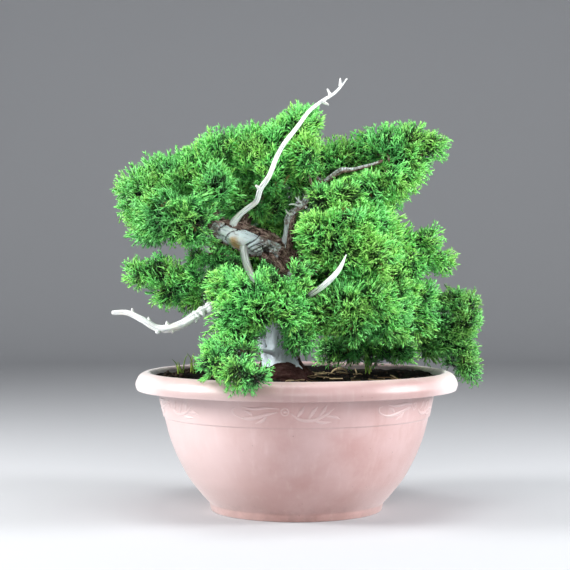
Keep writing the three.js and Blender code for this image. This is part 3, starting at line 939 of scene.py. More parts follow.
@dataclass(frozen=True)
class Bowl:
    """The round bowl: a foot, a bellied wall, a band with a garland, and a wide rolled rim."""

    foot_radius: float = 81.0
    floor: float = 5.0
    crown: float = 129.0
    rim_radius: float = 150.0
    band_low: float = 88.0
    band_radius: float = 124.0
    band_slope: float = 0.2
    drain_holes: int = 5
    drain_radius: float = 6.0
    drain_circle: float = 47.0
    garlands: int = 6
    first_garland: float = -4.9
    relief: float = 0.55
    under_rim: float = 112.5
    rim_inside: float = 137.0
    unrolled_radius: float = 126.0

    def outside(self) -> list[Place]:
        """The outer line from the foot to the crown: radius, height and rounding."""
        return [
            (0, 0, 0), (27, 0, 0.6), (29, 2, 0.6), (66, 2, 0.6), (68, 0, 0.6), (79.5, 0, 1),
            (self.foot_radius, 7, 1.5), (87, 13.5, 5), (100, 29.5, 7), (111, 50, 8),
            (118.5, 69.5, 8),
            (122.6, 86.8, 0.4), (self.band_radius, self.band_low, 0.5), (129, 112.6, 0.8),
            (148.2, 112, 0.8), (self.rim_radius, 117.5, 3), (146, 126, 3.5),
            (138.5, self.crown, 2.5),
            (134.5, 126.5, 1.5),
        ]

    def inside(self) -> list[Place]:
        """The inner line from the crown down to the floor: radius, height and rounding."""
        heights = [(125, 113, 1.5), (120, 89, 4), (114.5, 69.5, 6), (107, 50, 6), (96, 29.5, 6)]
        return [*heights, (77, self.floor, 4), (0, self.floor, 0)]

    def drills(self) -> bpy.types.Mesh:
        """The round pegs that the drain holes are cut with."""
        shape = bmesh.new()
        for i in range(self.drain_holes):
            turn = 2 * math.pi * i / self.drain_holes
            x, y = self.drain_circle * math.cos(turn), self.drain_circle * math.sin(turn)
            bmesh.ops.create_cone(
                shape,
                cap_ends=True,
                segments=32,
                radius1=self.drain_radius,
                radius2=self.drain_radius,
                depth=4 * self.floor,
                matrix=Matrix.Translation((x, y, self.floor / 2)),
            )
        return mesh_from(shape, "drills")

    def shell(self) -> bpy.types.Mesh:
        """The turned bowl with its drain holes."""
        shell = spun(rounded([*self.outside(), *self.inside()], 4), 160, "shell")
        cutter = placed("drills", self.drills())
        shell = applied(shell, "BOOLEAN", operation="DIFFERENCE", solver="EXACT", object=cutter)
        bpy.data.meshes.remove(cutter.data)
        places = get_places(shell)
        radius, height = np.hypot(places[:, 0], places[:, 1]), places[:, 2]
        line = sorted((z, r) for r, z, _ in self.outside()[6:14])
        outer = np.interp(height, [z for z, _ in line], [r for _, r in line])
        inner = np.where(height < self.under_rim, outer - radius > 2, radius < self.rim_inside)
        # Marks the inner wall, which the finish darkens as soil stain and painted shade.
        set_values(shell, "inside", (inner & (height > 4)).astype(float))
        set_value(shell, "raised", 0.0)
        return shell

    def strokes(self) -> list[list[Row]]:
        """One unit of the garland: distance round the band, unused, height and half-width."""
        turns = np.linspace(0, 2 * math.pi, 13)
        ring = [(3.1 * math.cos(t), 0.0, 102 + 3.1 * math.sin(t), 0.8) for t in turns]
        flat = [
            [
                (-6, 101.5, 0.5), (-14, 100, 1.5), (-26, 96.6, 2.0), (-36, 95.6, 1.3),
                (-43, 97.6, 0.5),
            ],
            [(-5, 104.5, 0.5), (-15, 105.4, 1.3), (-27, 104.2, 1.4), (-38, 106, 0.4)],
            [(-41, 97, 0.6), (-46, 99.5, 1.0), (-46.5, 103.5, 0.9), (-43, 104.5, 0.5)],
            [(-15, 99.5, 0.5), (-19, 94.5, 1.5), (-26, 91.2, 0.4)],
            [(-28, 97, 0.5), (-31, 100.8, 1.5), (-36, 102.6, 0.4)],
            [(5, 101, 0.5), (12, 95.6, 1.4), (23, 94.6, 1.6), (34, 98.6, 1.3), (42, 104.6, 0.5)],
            [(10, 97, 0.5), (14, 102.4, 1.9), (16.5, 107, 0.4)],
            [(20, 95, 0.5), (23.5, 101.6, 1.9), (28, 106.6, 0.4)],
            [(29, 97, 0.5), (33, 103.4, 1.7), (36, 108, 0.4)],
            [(24, 94.6, 0.5), (32, 92.6, 1.5), (40, 93, 0.4)],
            [(34, 98, 0.5), (42, 97.6, 1.5), (48, 95, 0.4)],
            [(-1.2, 102, 1.2), (1.2, 102, 1.2)],
        ]
        return [ring, *([(s, 0.0, z, w) for s, z, w in stroke] for stroke in flat)]

    def garland(self) -> bpy.types.Mesh:
        """The raised garland, bent round the band."""
        found = []
        for unit_number in range(self.garlands):
            start = math.radians(self.first_garland + unit_number * 360 / self.garlands)
            for stroke in self.strokes():
                mesh = Course(stroke, 4).skin(8)
                places = get_places(mesh)
                radius = self.band_radius + (places[:, 2] - self.band_low) * self.band_slope
                radius = radius - 0.15 + self.relief * places[:, 1]
                turn = start + places[:, 0] / self.unrolled_radius
                bent = [radius * np.sin(turn), -radius * np.cos(turn), places[:, 2]]
                set_places(mesh, np.stack(bent, 1))
                found.append(mesh)
        return joined(found, "garland")

    def make(self) -> None:
        """Builds and publishes the bowl and its garland."""
        finish = BowlPlastic().material()
        publish(self.shell(), "bowl_shell", finish, ["bowl"], 50)
        garland = self.garland()
        set_value(garland, "inside", 0.0)
        # The garland is marked raised; the finish makes it paler as painted highlight.
        set_value(garland, "raised", 1.0)
        publish(garland, "garland", finish)


@dataclass(frozen=True)
class Soil:
    """The bowl's filling, and what lies and grows on it."""

    top: float = 119.0
    lump: float = 1.6
    bank: float = 5.6
    edge: float = 127.0
    clods: int = 70
    crumbs: int = 1400
    straws: int = 70
    moss_tufts: int = 420
    crumb_shapes: int = 5
    farthest: float = 129.0
    seed: int = 7

    def height(self, x: np.ndarray, y: np.ndarray) -> np.ndarray:
        """The height of the soil's surface."""
        wave = np.sin(x * 0.11 + 1) * np.cos(y * 0.13) + 0.6 * np.sin(x * 0.27 - y * 0.21)
        mound = 2.2 * np.exp(-((x + 12) ** 2 + y**2) / 45**2)
        uneven = 0.8 + 0.2 * np.sin(0.09 * x + 0.05 * y)
        bank = self.bank * smooth(np.hypot(x, y), 98, 128) * uneven
        return self.top + self.lump * 0.6 * wave + mound + bank

    def body(self) -> bpy.types.Mesh:
        """The closed body of soil with its rough top."""
        side = [(0, 5.3), (76.4, 5.3), (95.4, 29.5), (106.4, 50), (113.9, 69.5), (119.4, 89)]
        side.append((124.4, 113))
        top = [(128.6, self.top), (131.6, self.top + 0.2)]
        top += [(r, self.top) for r in np.linspace(130, 1.5, 65)]
        mesh = spun([*side, *top, (0, self.top)], 144, "soil")
        places = get_places(mesh)
        above = places[:, 2] > self.top - 1
        x, y = places[:, 0], places[:, 1]
        rough = 1.1 * clouds(places * 0.12, 4) + 0.5 * clouds(places * 0.5, 2)
        edge = smooth(np.hypot(x, y), 131, 118)
        surface = self.height(x, y) + rough * (0.3 + 0.7 * edge)
        places[:, 2] = np.where(above, surface, places[:, 2])
        set_places(mesh, places)
        return mesh

    def spots(self, count: int, draw: np.random.Generator) -> np.ndarray:
        """Places scattered over the soil."""
        radius = self.edge * np.sqrt(draw.uniform(0.0, 1, count)) * 0.985
        turn = draw.uniform(0, 2 * math.pi, count)
        x, y = radius * np.cos(turn), radius * np.sin(turn)
        return np.stack([x, y, self.height(x, y)], 1)

    @staticmethod
    def lump_turn(size: float, slimmest: float, draw: np.random.Generator) -> np.ndarray:
        """A matrix that turns a lump anyhow, sizes it and squashes it a little."""
        turn = turned(unit(draw.normal(size=3)), draw.uniform(0, ANY_TURN)) * size
        return turn * draw.uniform(slimmest, 1.2, 3)

    def crumb_mesh(self) -> bpy.types.Mesh:
        """Loose crumbs, and clods in the bank on the left."""
        draw = np.random.default_rng(self.seed)
        templates = []
        for _ in range(self.crumb_shapes):
            shape = bmesh.new()
            bmesh.ops.create_icosphere(shape, subdivisions=1, radius=1)
            mesh = mesh_from(shape, "crumb")
            set_places(mesh, get_places(mesh) * draw.uniform(0.7, 1.3, (len(mesh.vertices), 1)))
            templates.append(mesh)
        copies = Copies(templates)
        for i, spot in enumerate(self.spots(self.crumbs, draw)):
            size = 0.5 + 1.5 * draw.random() ** 2.5
            turn = self.lump_turn(size, 0.7, draw)
            spot[2] += 0.2 * size
            copies.add(i % self.crumb_shapes, turn, spot, tone=draw.random())
        for i in range(self.clods):
            heading, out = draw.normal(2.75, 0.45), draw.uniform(112, 129)
            x, y, size = out * math.cos(heading), out * math.sin(heading), draw.uniform(1.2, 3.2)
            spot = np.array([x, y, float(self.height(x, y)) + 0.3 * size])
            turn = self.lump_turn(size, 0.6, draw)
            copies.add(i % self.crumb_shapes, turn, spot, tone=draw.uniform(0.2, 1.6))
        return copies.mesh("crumbs")

    def straw_mesh(self) -> bpy.types.Mesh:
        """Straws, root ends and chips of bark that lie about."""
        draw = np.random.default_rng(self.seed + 1)
        found = []
        for spot in self.spots(self.straws, draw):
            length, width = draw.uniform(5, 22), draw.uniform(0.25, 0.7)
            turn, bend = draw.uniform(0, ANY_TURN), draw.uniform(-0.5, 0.5)
            rows = []
            for t in (-0.5, -0.1, 0.25, 0.5):
                heading = turn + bend * t
                x = 0.88 * spot[0] + length * t * math.cos(heading)
                y = 0.88 * spot[1] + length * t * math.sin(heading)
                rows.append((x, y, float(self.height(x, y)) + 1.5 + draw.uniform(0, 1), width))
            mesh = Course(rows, 2).skin(5)
            set_value(mesh, "tone", draw.random())
            found.append(mesh)
        curls = [
            [
                (34, 70, 121, 0.6), (38, 66, 125, 1.1), (44, 64, 126.5, 1.2), (49, 66, 124, 1),
                (50, 70, 121, 0.6),
            ],
            [
                (30, -84, 121, 0.5), (38, -86, 122.5, 0.7), (47, -82, 122, 0.7),
                (52, -76, 120.5, 0.5),
            ],
        ]
        for curl in curls:
            mesh = Course(curl, 6).skin(8)
            set_value(mesh, "tone", 1.2)
            found.append(mesh)
        return joined(found, "straw")

    def moss_mesh(self, shoots: Sequence[bpy.types.Mesh]) -> bpy.types.Mesh:
        """Cushions of moss near the rim and the trunk."""
        draw = np.random.default_rng(self.seed + 2)
        copies = Copies(shoots)
        cushions = [
            (40, -108, 12), (66, -96, 9), (110, 40, 10), (92, 74, 11), (54, 102, 10), (-70, 90, 12),
            (-104, 30, 8), (8, 60, 9), (-30, -100, 8), (100, -40, 9), (-96, -56, 10), (24, 104, 8),
        ]
        for _ in range(self.moss_tufts):
            x, y, size = cushions[draw.integers(len(cushions))]
            out = size * math.sqrt(draw.random())
            heading = draw.uniform(0, ANY_TURN)
            x, y = x + out * math.cos(heading), y + out * math.sin(heading)
            if math.hypot(x, y) > self.farthest:
                continue
            lift = 1.6 * (1 - (out / size) ** 2)
            spot = np.array([x, y, float(self.height(x, y)) + lift - 0.8])
            aim = unit(np.array([0, 0, 1]) + 0.45 * draw.normal(size=3))
            turn = aimed(aim, draw.uniform(0, ANY_TURN)) * draw.uniform(0.16, 0.3)
            copies.add(int(draw.integers(len(shoots))), turn, spot, tone=draw.random())
        return copies.mesh("moss")

    def grass_mesh(self) -> bpy.types.Mesh:
        """A few thin blades of grass."""
        draw = np.random.default_rng(self.seed + 3)
        found = []
        for foot_x, foot_y, count in ((-110, 38, 6), (-99, 58, 6), (70, 84, 5), (-40, -104, 4)):
            for _ in range(count):
                lean = draw.normal(0, 5, 2)
                x, y = foot_x + draw.normal(0, 2.5), foot_y + draw.normal(0, 2.5)
                tall = draw.uniform(11, 25)
                rows = [(x, y, self.top - 0.5, 0.5)]
                for sway, share, width in ((0.25, 0.45, 0.6), (0.6, 0.8, 0.45), (1.2, 1, 0.15)):
                    height = self.top + share * tall
                    rows.append((x + sway * lean[0], y + sway * lean[1], height, width))
                mesh = Course(rows, 3).skin(4)
                set_value(mesh, "tone", draw.random())
                found.append(mesh)
        return joined(found, "grass")

    def make(self, shoots: Sequence[bpy.types.Mesh]) -> None:
        """Builds and publishes the soil and all that lies on it."""
        publish(self.body(), "soil_body", PottingSoil().material(), ["soil"])
        crumbs = LooseFinish("soil_crumbs", colour(10, 7, 6), colour(44, 33, 25))
        publish(self.crumb_mesh(), "soil_crumbs", crumbs.material())
        straw = LooseFinish("dry_straw", colour(84, 60, 38), colour(186, 166, 128), 0.7)
        publish(self.straw_mesh(), "straw", straw.material())
        moss = LooseFinish("moss", colour(28, 42, 15), colour(98, 118, 44), 0.9)
        publish(self.moss_mesh(shoots), "moss", moss.material())
        grass = LooseFinish("grass", colour(70, 110, 34), colour(150, 180, 76), 0.6)
        publish(self.grass_mesh(), "grass_blades", grass.material())


# The wood. Each row is x, y, z and radius.

TRUNK: list[Row] = [
    (-13, 4, 96, 15), (-13, 4, 118, 19), (-15, 2, 130, 17.5), (-18, 0, 143, 14.2),
    (-21, -4, 162, 13.2),
    (-19, -2, 183, 13), (-9, 4, 204, 12.5), (-4, 8, 222, 12), (-16, 2, 237, 12.2),
    (-32, -8, 246, 12.6), (-52, -14, 253, 12), (-71, -14, 260, 9.5), (-80, -15, 267, 5.5),
]
ROOTS: list[list[Row]] = [
    [(-16, -2, 130, 9), (-36, -14, 120, 7), (-52, -22, 114, 4.5)],
    [(-10, -2, 127, 8), (4, -12, 119.5, 5.5), (16, -20, 114.5, 4)],
    [(-8, 6, 132, 9), (6, 24, 123, 7), (20, 38, 114, 4)],
    [(-18, 6, 132, 9), (-34, 22, 123, 6.5), (-48, 34, 114, 4)],
    [
        (-32, -12, 115, 7), (-23, -17, 123, 9.5), (-12, -20, 125.5, 10.5), (-2, -18, 122.5, 9),
        (4, -15, 115, 6),
    ],
]
BRANCHES: dict[str, list[Row]] = {
    "second_leader": [
        (-12, 2, 235, 6.4), (-9, -4, 247, 5.2), (-7, -6, 262, 4.7), (-5, -6, 272, 4.9),
        (1, -7, 278, 3.9),
        (8, -8, 284, 4.4), (11, -9, 291, 3), (21, -10, 301, 2.5), (33, -13, 309, 2.6),
        (41, -14, 314, 3),
        (52, -16, 315, 2.3), (68, -16, 319, 2), (79, -15, 323, 1.8),
    ],
    "broken_stub": [(-28, -16, 237, 3.8), (-20, -26, 231, 2.8), (-12, -31, 222, 2.3)],
    "left": [(-74, -14, 262, 6), (-84, -15, 270, 4.8), (-93, -17, 277, 3.6), (-100, -18, 281, 2.8)],
    "top": [(-72, -12, 260, 5), (-75, -6, 272, 4.2), (-78, -2, 282, 3.2), (-80, 2, 290, 2.5)],
    "apex": [(-50, -10, 254, 6), (-48, 4, 266, 5), (-43, 12, 278, 3.8), (-39, 15, 288, 2.8)],
    "upper_fork": [(10, -8, 290, 3), (19, 3, 296, 2.5), (30, 10, 304, 2)],
    "middle_right": [(-6, 4, 230, 7), (10, 0, 238, 5.5), (24, -8, 243, 4.2), (35, -14, 246, 3)],
    "lower_right": [(-9, 4, 204, 7), (8, -8, 203, 5.5), (24, -18, 200, 4.2), (36, -25, 197, 3)],
    "far_right": [
        (-16, 2, 172, 8), (12, 22, 168, 6), (50, 34, 163, 4.6), (90, 36, 161, 3.8),
        (118, 28, 163, 2.8),
    ],
    "rear_right": [(40, 32, 164, 4), (56, 44, 158, 3), (67, 55, 155, 2.3)],
    "middle_left": [
        (-14, 0, 196, 6), (-36, -14, 205, 4.6), (-56, -22, 209, 3.6), (-70, -26, 210, 2.6),
    ],
    "front": [(-13, -2, 200, 6), (-20, -28, 200, 4.6), (-26, -48, 198, 3.4), (-28, -56, 196, 2.6)],
    "hanging": [
        (-16, -6, 144, 3.6), (-34, -38, 150, 2), (-45, -66, 151, 1.8), (-51, -86, 149, 1.6),
    ],
    "rear_left": [(-6, 8, 222, 6), (-10, 32, 226, 4.6), (-18, 50, 232, 2.8)],
    "rear_middle": [(-6, 8, 210, 6), (8, 32, 218, 4.6), (22, 52, 225, 2.8)],
    "under": [(-72, -15, 258, 3), (-76, -19, 249, 2.3), (-79, -21, 242, 1.7)],
}


THIN_TWIGS: list[list[Row]] = [
    [(21, -11, 300, 1.3), (17.5, -13, 313, 1.1), (14, -15, 324, 0.9), (10, -15, 332, 0.6)],
    [
        (-36, -45, 150.5, 1.6), (-38, -78, 153, 1.3), (-43, -96, 153, 1.1), (-50, -98, 149.5, 1),
        (-57, -100, 142.5, 0.7),
    ],
    [(-41, -95, 153, 1.1), (-39.5, -98, 146, 0.9), (-39, -99, 142.5, 0.8), (-32.5, -99, 139, 0.5)],
    [(-36, -90, 153.5, 0.9), (-41, -96, 158, 0.6)],
    [(-86, -20, 258, 1.2), (-90, -22, 246, 1), (-88, -24, 234, 0.8), (-92, -24, 224, 0.5)],
    [(-89, -22, 247, 0.9), (-96, -24, 240, 0.7), (-97, -26, 234, 0.5)],
]
WHITE_TWIGS: list[list[Row]] = [
    [(7, -9, 283, 1.3), (2, -12, 281.8, 1), (-3, -14, 283.2, 0.8), (-7, -16, 282.6, 0.4)],
    [(7, -9, 282, 1.4), (12, -14, 277.8, 1), (16, -16, 277.4, 0.8), (20, -17, 279.2, 0.3)],
    [(6, -9, 284, 1.2), (2, -12, 286.5, 0.9), (-1, -14, 289.5, 0.4)],
    [(2, -12, 286.5, 0.7), (2, -13, 290.5, 0.4)],
    [(-4, -8, 274, 1.4), (-8, -12, 275, 0.9), (-10, -13, 278, 0.4)],
]


@dataclass(frozen=True)
class BareStrip:
    """A stretch of a limb that has lost its bark on one side."""

    limb: str
    start: float
    end: float
    facing: Place
    half_degrees: float


@dataclass(frozen=True)
class Knot:
    """A hole left by a lost branch, with a swollen lip."""

    place: Place
    radius: float
    depth: float


@dataclass(frozen=True)
class LimbGrain(Grain):
    """Living wood under its bark: wide lobes where the limb is thick, and ridges without cracks."""

    lobes: float = 0.0
    sunk: float = 0.25

    def relief(
        self, turn: np.ndarray, along: np.ndarray, share: np.ndarray, radius: np.ndarray
    ) -> np.ndarray:
        """Lobes and ridges, in the form that a limb's skin asks for."""
        lobes = self.lobes * radius * np.sin(3 * turn + 3 * math.pi * share)
        return lobes + self.height(turn, along, radius) - self.sunk


@dataclass(frozen=True)
class Survey:
    """What is known of the limb beside each place on the wood."""

    names: list[str]
    limb: np.ndarray
    middle: np.ndarray
    out: np.ndarray
    radius: np.ndarray
    share: np.ndarray
    length: np.ndarray
    fibre: np.ndarray

    @classmethod
    def of(cls, places: np.ndarray, limbs: Mapping[str, Course]) -> "Survey":
        """Finds the limb beside each place.

        Args:
            places: The places, one row each.
            limbs: The courses of the limbs by name.

        Returns:
            The survey, with one row or number for each place.
        """
        courses = list(limbs.values())
        stretches = Stretches(courses)
        _, found, part = stretches.nearest(places)
        limb = stretches.limb[found]
        starts = np.cumsum([0] + [len(course.places) for course in courses])
        first = starts[limb] + stretches.row[found]
        beside = {}
        for key in ("normal", "side", "along", "share", "radii"):
            whole = np.concatenate([getattr(course, key) for course in courses])
            low, high = whole[first], whole[first + 1]
            beside[key] = low + (high - low) * (part[:, None] if low.ndim == 2 else part)
        middle = stretches.start[found] + part[:, None] * stretches.span[found]
        out = unit(places - middle)
        radius = np.maximum(beside["radii"], 2.5)
        turn = np.arctan2(-(out * beside["side"]).sum(1), (out * beside["normal"]).sum(1))
        fibre = np.stack([radius * np.cos(turn), radius * np.sin(turn), beside["along"]], 1)
        length = np.array([course.along[-1] for course in courses])[limb]
        apart = 17.3 * limb[:, None]
        return cls(
            list(limbs), limb, middle, out, radius, beside["share"], length, fibre + apart
        )

    def on(self, name: str) -> np.ndarray:
        """Whether each place is on the limb of this name."""
        return self.limb == self.names.index(name)


CREASES: list[list[Row]] = [
    [(-66, 0, 250, 0.3), (-64, 0, 254, 0.5), (-60, 0, 258, 0.5), (-54, 0, 259.5, 0.2)],
    [(-69, 0, 250, 0.3), (-68, 0, 246, 0.5), (-65, 0, 242.5, 0.4)],
    [(-72, 0, 258, 0.3), (-70, 0, 262, 0.4), (-65, 0, 264, 0.3)],
    [(-52, 0, 240, 0.6), (-44, 0, 246, 0.9), (-37, 0, 251, 0.6), (-33, 0, 256, 0.3)],
    [(-47, 0, 239, 0.3), (-37.5, 0, 245.3, 0.5), (-29, 0, 249.5, 0.3)],
    [(-44, 0, 237, 0.3), (-35, 0, 242.3, 0.4), (-28, 0, 246.5, 0.3)],
    [(-40, 0, 235, 0.3), (-31.5, 0, 241, 0.5), (-26, 0, 243, 0.3)],
    [(-36, 0, 232, 0.3), (-30, 0, 236, 0.4)],
    [(-15, 0, 166, 0.1), (-17, 0, 158, 0.2), (-13, 0, 150, 0.1)],
]


@dataclass(frozen=True)
class Wood:
    """The living wood: trunk, surface roots and branches, fused into one skin."""

    voxel: float = 1.1
    bark: float = 1.3
    strips: tuple[BareStrip, ...] = (
        BareStrip("trunk", 0.12, 0.42, (-0.15, -1, 0), 80),
        BareStrip("trunk", 0.12, 0.26, (0.75, -0.7, 0), 60),
        BareStrip("root_1", -0.1, 0.45, (0.4, -0.5, 0.8), 90),
        BareStrip("trunk", 0.38, 0.58, (0.3, -1, 0), 34),
        BareStrip("trunk", 0.7, 0.95, (-0.1, -1, -0.45), 58),
        BareStrip("second_leader", -0.1, 0.34, (-1, -0.5, 0.1), 64),
        BareStrip("second_leader", 0.32, 0.5, (-0.5, -0.8, 0.3), 48),
        BareStrip("second_leader", 0.62, 0.97, (-0.2, -1, 0.6), 58),
        BareStrip("hanging", -0.1, 1.1, (0.3, -0.3, 1), 200),
    )
    knots: tuple[Knot, ...] = (
        Knot((-27, -20, 240), 4.2, 6.0),
        Knot((-12, -14, 160), 1.8, 2.0),
        Knot((-62, -24, 252), 1.6, 1.6),
        Knot((9, -13, 286), 1.5, 1.6),
        Knot((41, -18, 313), 1.4, 1.2),
    )
    gnarled: tuple[tuple[str, float, float], ...] = (
        ("trunk", 0.6, 0.78), ("trunk", 0.885, 1.0), ("second_leader", 0.16, 1.0),
    )

    def limbs(self) -> dict[str, Course]:
        """The courses of all limbs by name."""
        roots = {f"root_{i}": rows for i, rows in enumerate(ROOTS)}
        return {name: Course(rows) for name, rows in {"trunk": TRUNK, **roots, **BRANCHES}.items()}

    def fused(self, limbs: Mapping[str, Course]) -> bpy.types.Mesh:
        """All limbs fused into one skin.

        Args:
            limbs: The courses of the limbs.

        Returns:
            The closed mesh.
        """
        found = []
        for i, (name, course) in enumerate(limbs.items()):
            columns, lobes = (40, 0.1) if name == "trunk" else (20, 0.0)
            grain = LimbGrain(40 + i, cracks=0, lobes=lobes)
            found.append(course.skin(columns, grain.relief))
        skin = applied(joined(found, "wood"), "REMESH", mode="VOXEL", voxel_size=self.voxel)
        return applied(skin, "SMOOTH", factor=0.5, iterations=2)

    def bare(self, survey: Survey) -> np.ndarray:
        """How far inside a bare strip each place lies.

        Args:
            survey: The limb beside each place.

        Returns:
            The distance from the edge of the bark in millimetres, less than 0 under bark.
        """
        found = np.full(len(survey.limb), UNDER_BARK)
        for strip in self.strips:
            facing = unit(np.array(strip.facing, float))
            angle = np.arccos(np.clip(survey.out @ facing, -1, 1))
            inside = (math.radians(strip.half_degrees) - angle) * survey.radius
            share = np.minimum(survey.share - strip.start, strip.end - survey.share)
            inside = np.minimum(inside, share * survey.length)
            found = np.maximum(found, np.where(survey.on(strip.limb), inside, UNDER_BARK))
        ragged = 3.0 * clouds(survey.fibre * [0.14, 0.14, 0.07], 3)
        return found + ragged * smooth(survey.radius, 1, 6)

    def cracks(self, places: np.ndarray, survey: Survey, bare: np.ndarray) -> np.ndarray:
        """How deep in a crack or a crease each place lies, from 0 to 1.

        Args:
            places: The places.
            survey: The limb beside each place.
            bare: How far inside a bare strip each place lies.

        Returns:
            One number for each place.
        """
        fissures = np.abs(clouds(survey.fibre * [0.17, 0.17, 0.024], 3))
        crack = 0.75 * smooth(fissures, 0.08, 0.02) * smooth(bare, 0.3, 1.6)
        crack *= smooth(survey.radius, 2.5, 5)
        front = survey.on("trunk") & (places[:, 1] < survey.middle[:, 1] - 3)
        flat = np.array([1, 0, 1])
        wander = 0.6 * clouds(places[front] * 0.3, 2)[:, None] * flat
        creases = Stretches([Course(rows, 4) for rows in CREASES])
        away = creases.nearest(places[front] * flat + wander)[0]
        crack[front] = np.maximum(crack[front], smooth(away, 0.5, -0.2))
        return crack

    def gnarl(self, survey: Survey) -> np.ndarray:
        """How gnarled the wood is at each place, from 0 to 1."""
        found = np.zeros(len(survey.limb))
        for name, low, high in self.gnarled:
            starts = smooth(survey.share, low, low + 0.03)
            ends = smooth(survey.share, high + 0.01, high - 0.01)
            found = np.maximum(found, survey.on(name) * (starts * ends))
        return found

    def pits(self, places: np.ndarray) -> tuple[np.ndarray, np.ndarray]:
        """The relief of the knots.

        Args:
            places: The places.

        Returns:
            The height at each place, and how deep in a pit it lies, from 0 to 1.
        """
        height, pit = np.zeros(len(places)), np.zeros(len(places))
        for knot in self.knots:
            away = np.linalg.norm(places - np.array(knot.place), axis=1) / knot.radius
            height += 1.1 * np.exp(-(((away - 1.5) / 0.5) ** 2))
            height -= knot.depth * np.exp(-((away / 0.9) ** 2))
            pit = np.maximum(pit, smooth(away, 1.15, 0.7))
        return height, pit

    def make(self) -> None:
        """Builds and publishes the wood with its bark, bare strips, cracks and knots."""
        limbs = self.limbs()
        mesh = self.fused(limbs)
        places = get_places(mesh)
        survey = Survey.of(places, limbs)
        bare, gnarl = self.bare(survey), self.gnarl(survey)
        crack = self.cracks(places, survey, bare)
        flakes = clouds(survey.fibre * [0.3, 0.3, 0.1], 4)
        folds = clouds(survey.fibre * [0.05, 0.05, 0.34], 2)
        thick = smooth(survey.radius, 1, 7.5)
        on_bark = smooth(bare, 0.5, -0.7)
        lip = np.exp(-(((bare + 1.4) / 1.3) ** 2)) * 0.9
        plates = smooth(flakes, -0.08, 0.1) + 0.35 * flakes
        height, pit = self.pits(places)
        height += on_bark * (self.bark * plates + lip) * thick
        height -= (1 - on_bark) * (0.5 + 0.35 * np.abs(flakes)) * thick + 1.8 * crack
        height += (0.8 + 1.4 * gnarl) * clouds(places * 0.11, 3) * thick
        height += 1.1 * gnarl * folds * thick
        set_places(mesh, places + rows_of(mesh.vertex_normals, "vector") * height[:, None])
        set_values(mesh, "fibre", survey.fibre)
        set_values(mesh, "bare", bare)
        set_values(mesh, "gnarl", gnarl)
        # The knots' pits take the dark crack colour: partly rotten wood in the holes, partly
        # painted shade.
        set_values(mesh, "crack", np.maximum(crack, pit))
        publish(mesh, "living_wood", LivingWood().material(), ["trunk"])


@dataclass(frozen=True)
class Jin:
    """A bleached dead limb with its broken twig ends."""

    node: str
    rows: tuple[Row, ...]
    stubs: tuple[tuple[Row, Row], ...] = ()
    columns: int = 30
    seed: int = 1
    slim: float = 0.84
    coils: tuple[float, float] = (0.0, 0.0)
    coil_depth: float = 0.42
    stain: float = 0.0

    def wrinkle(self, turn: np.ndarray, along: np.ndarray) -> np.ndarray:
        """Folds across the limb where it was bent, from -1 in a groove to 1 on a ridge."""
        low, high = self.coils
        if high <= low:
            return np.zeros_like(turn)
        here = smooth(along, low - 3, low + 3) * smooth(along, high + 3, high - 3)
        phase = 1.15 * along + 1.6 * np.sin(0.21 * along) + 1.1 * np.sin(turn + 0.3 * along)
        return here * np.sin(phase) * (0.6 + 0.4 * np.sin(2 * turn + 0.5))

    def relief(
        self, turn: np.ndarray, along: np.ndarray, share: np.ndarray, radius: np.ndarray
    ) -> np.ndarray:
        """Grain and cracks, with wrinkles across the limb where it was bent."""
        height = Grain(self.seed).relief(turn, along, share, radius)
        return height + self.coil_depth * self.wrinkle(turn, along)

    def make(self, finish: bpy.types.Material) -> None:
        """Builds and publishes the dead limb.

        Args:
            finish: The bleached wood.
        """
        slimmed = [(x, y, z, self.slim * r) for x, y, z, r in self.rows]
        spacing = Course(slimmed).along[-1] / (len(self.rows) - 1)
        course = Course(slimmed, max(4, round(spacing / 0.9)))
        found = [course.skin(self.columns, self.relief)]
        for foot, tip in self.stubs:
            middle = tuple(0.5 * (a + b) for a, b in zip(foot, tip))
            rows = [foot, (*middle[:3], 0.62 * foot[3] + 0.2 * tip[3]), (*tip[:3], 0.8 * tip[3])]
            found.append(Course(rows, 6).skin(12, Grain(self.seed + 5).relief))
        for mesh in found:
            x, y, along = rows_of(mesh.attributes["fibre"].data, "vector").T
            turn = np.arctan2(y, x)
            crack = Grain(self.seed).crack(turn, along)
            if mesh is found[0]:
                # Painted shade: the grooves of the coils are darkened with the crack colour.
                groove = 0.8 * smooth(-self.wrinkle(turn, along), 0.25, 0.8)
                crack = np.maximum(crack, groove)
            rightward = rows_of(mesh.vertex_normals, "vector")[:, 0]
            stain = self.stain * smooth(rightward, 0.0, 0.5)
            set_values(mesh, "crack", np.maximum(crack, stain))
        publish(joined(found, self.node), self.node + "_wood", finish, [self.node])


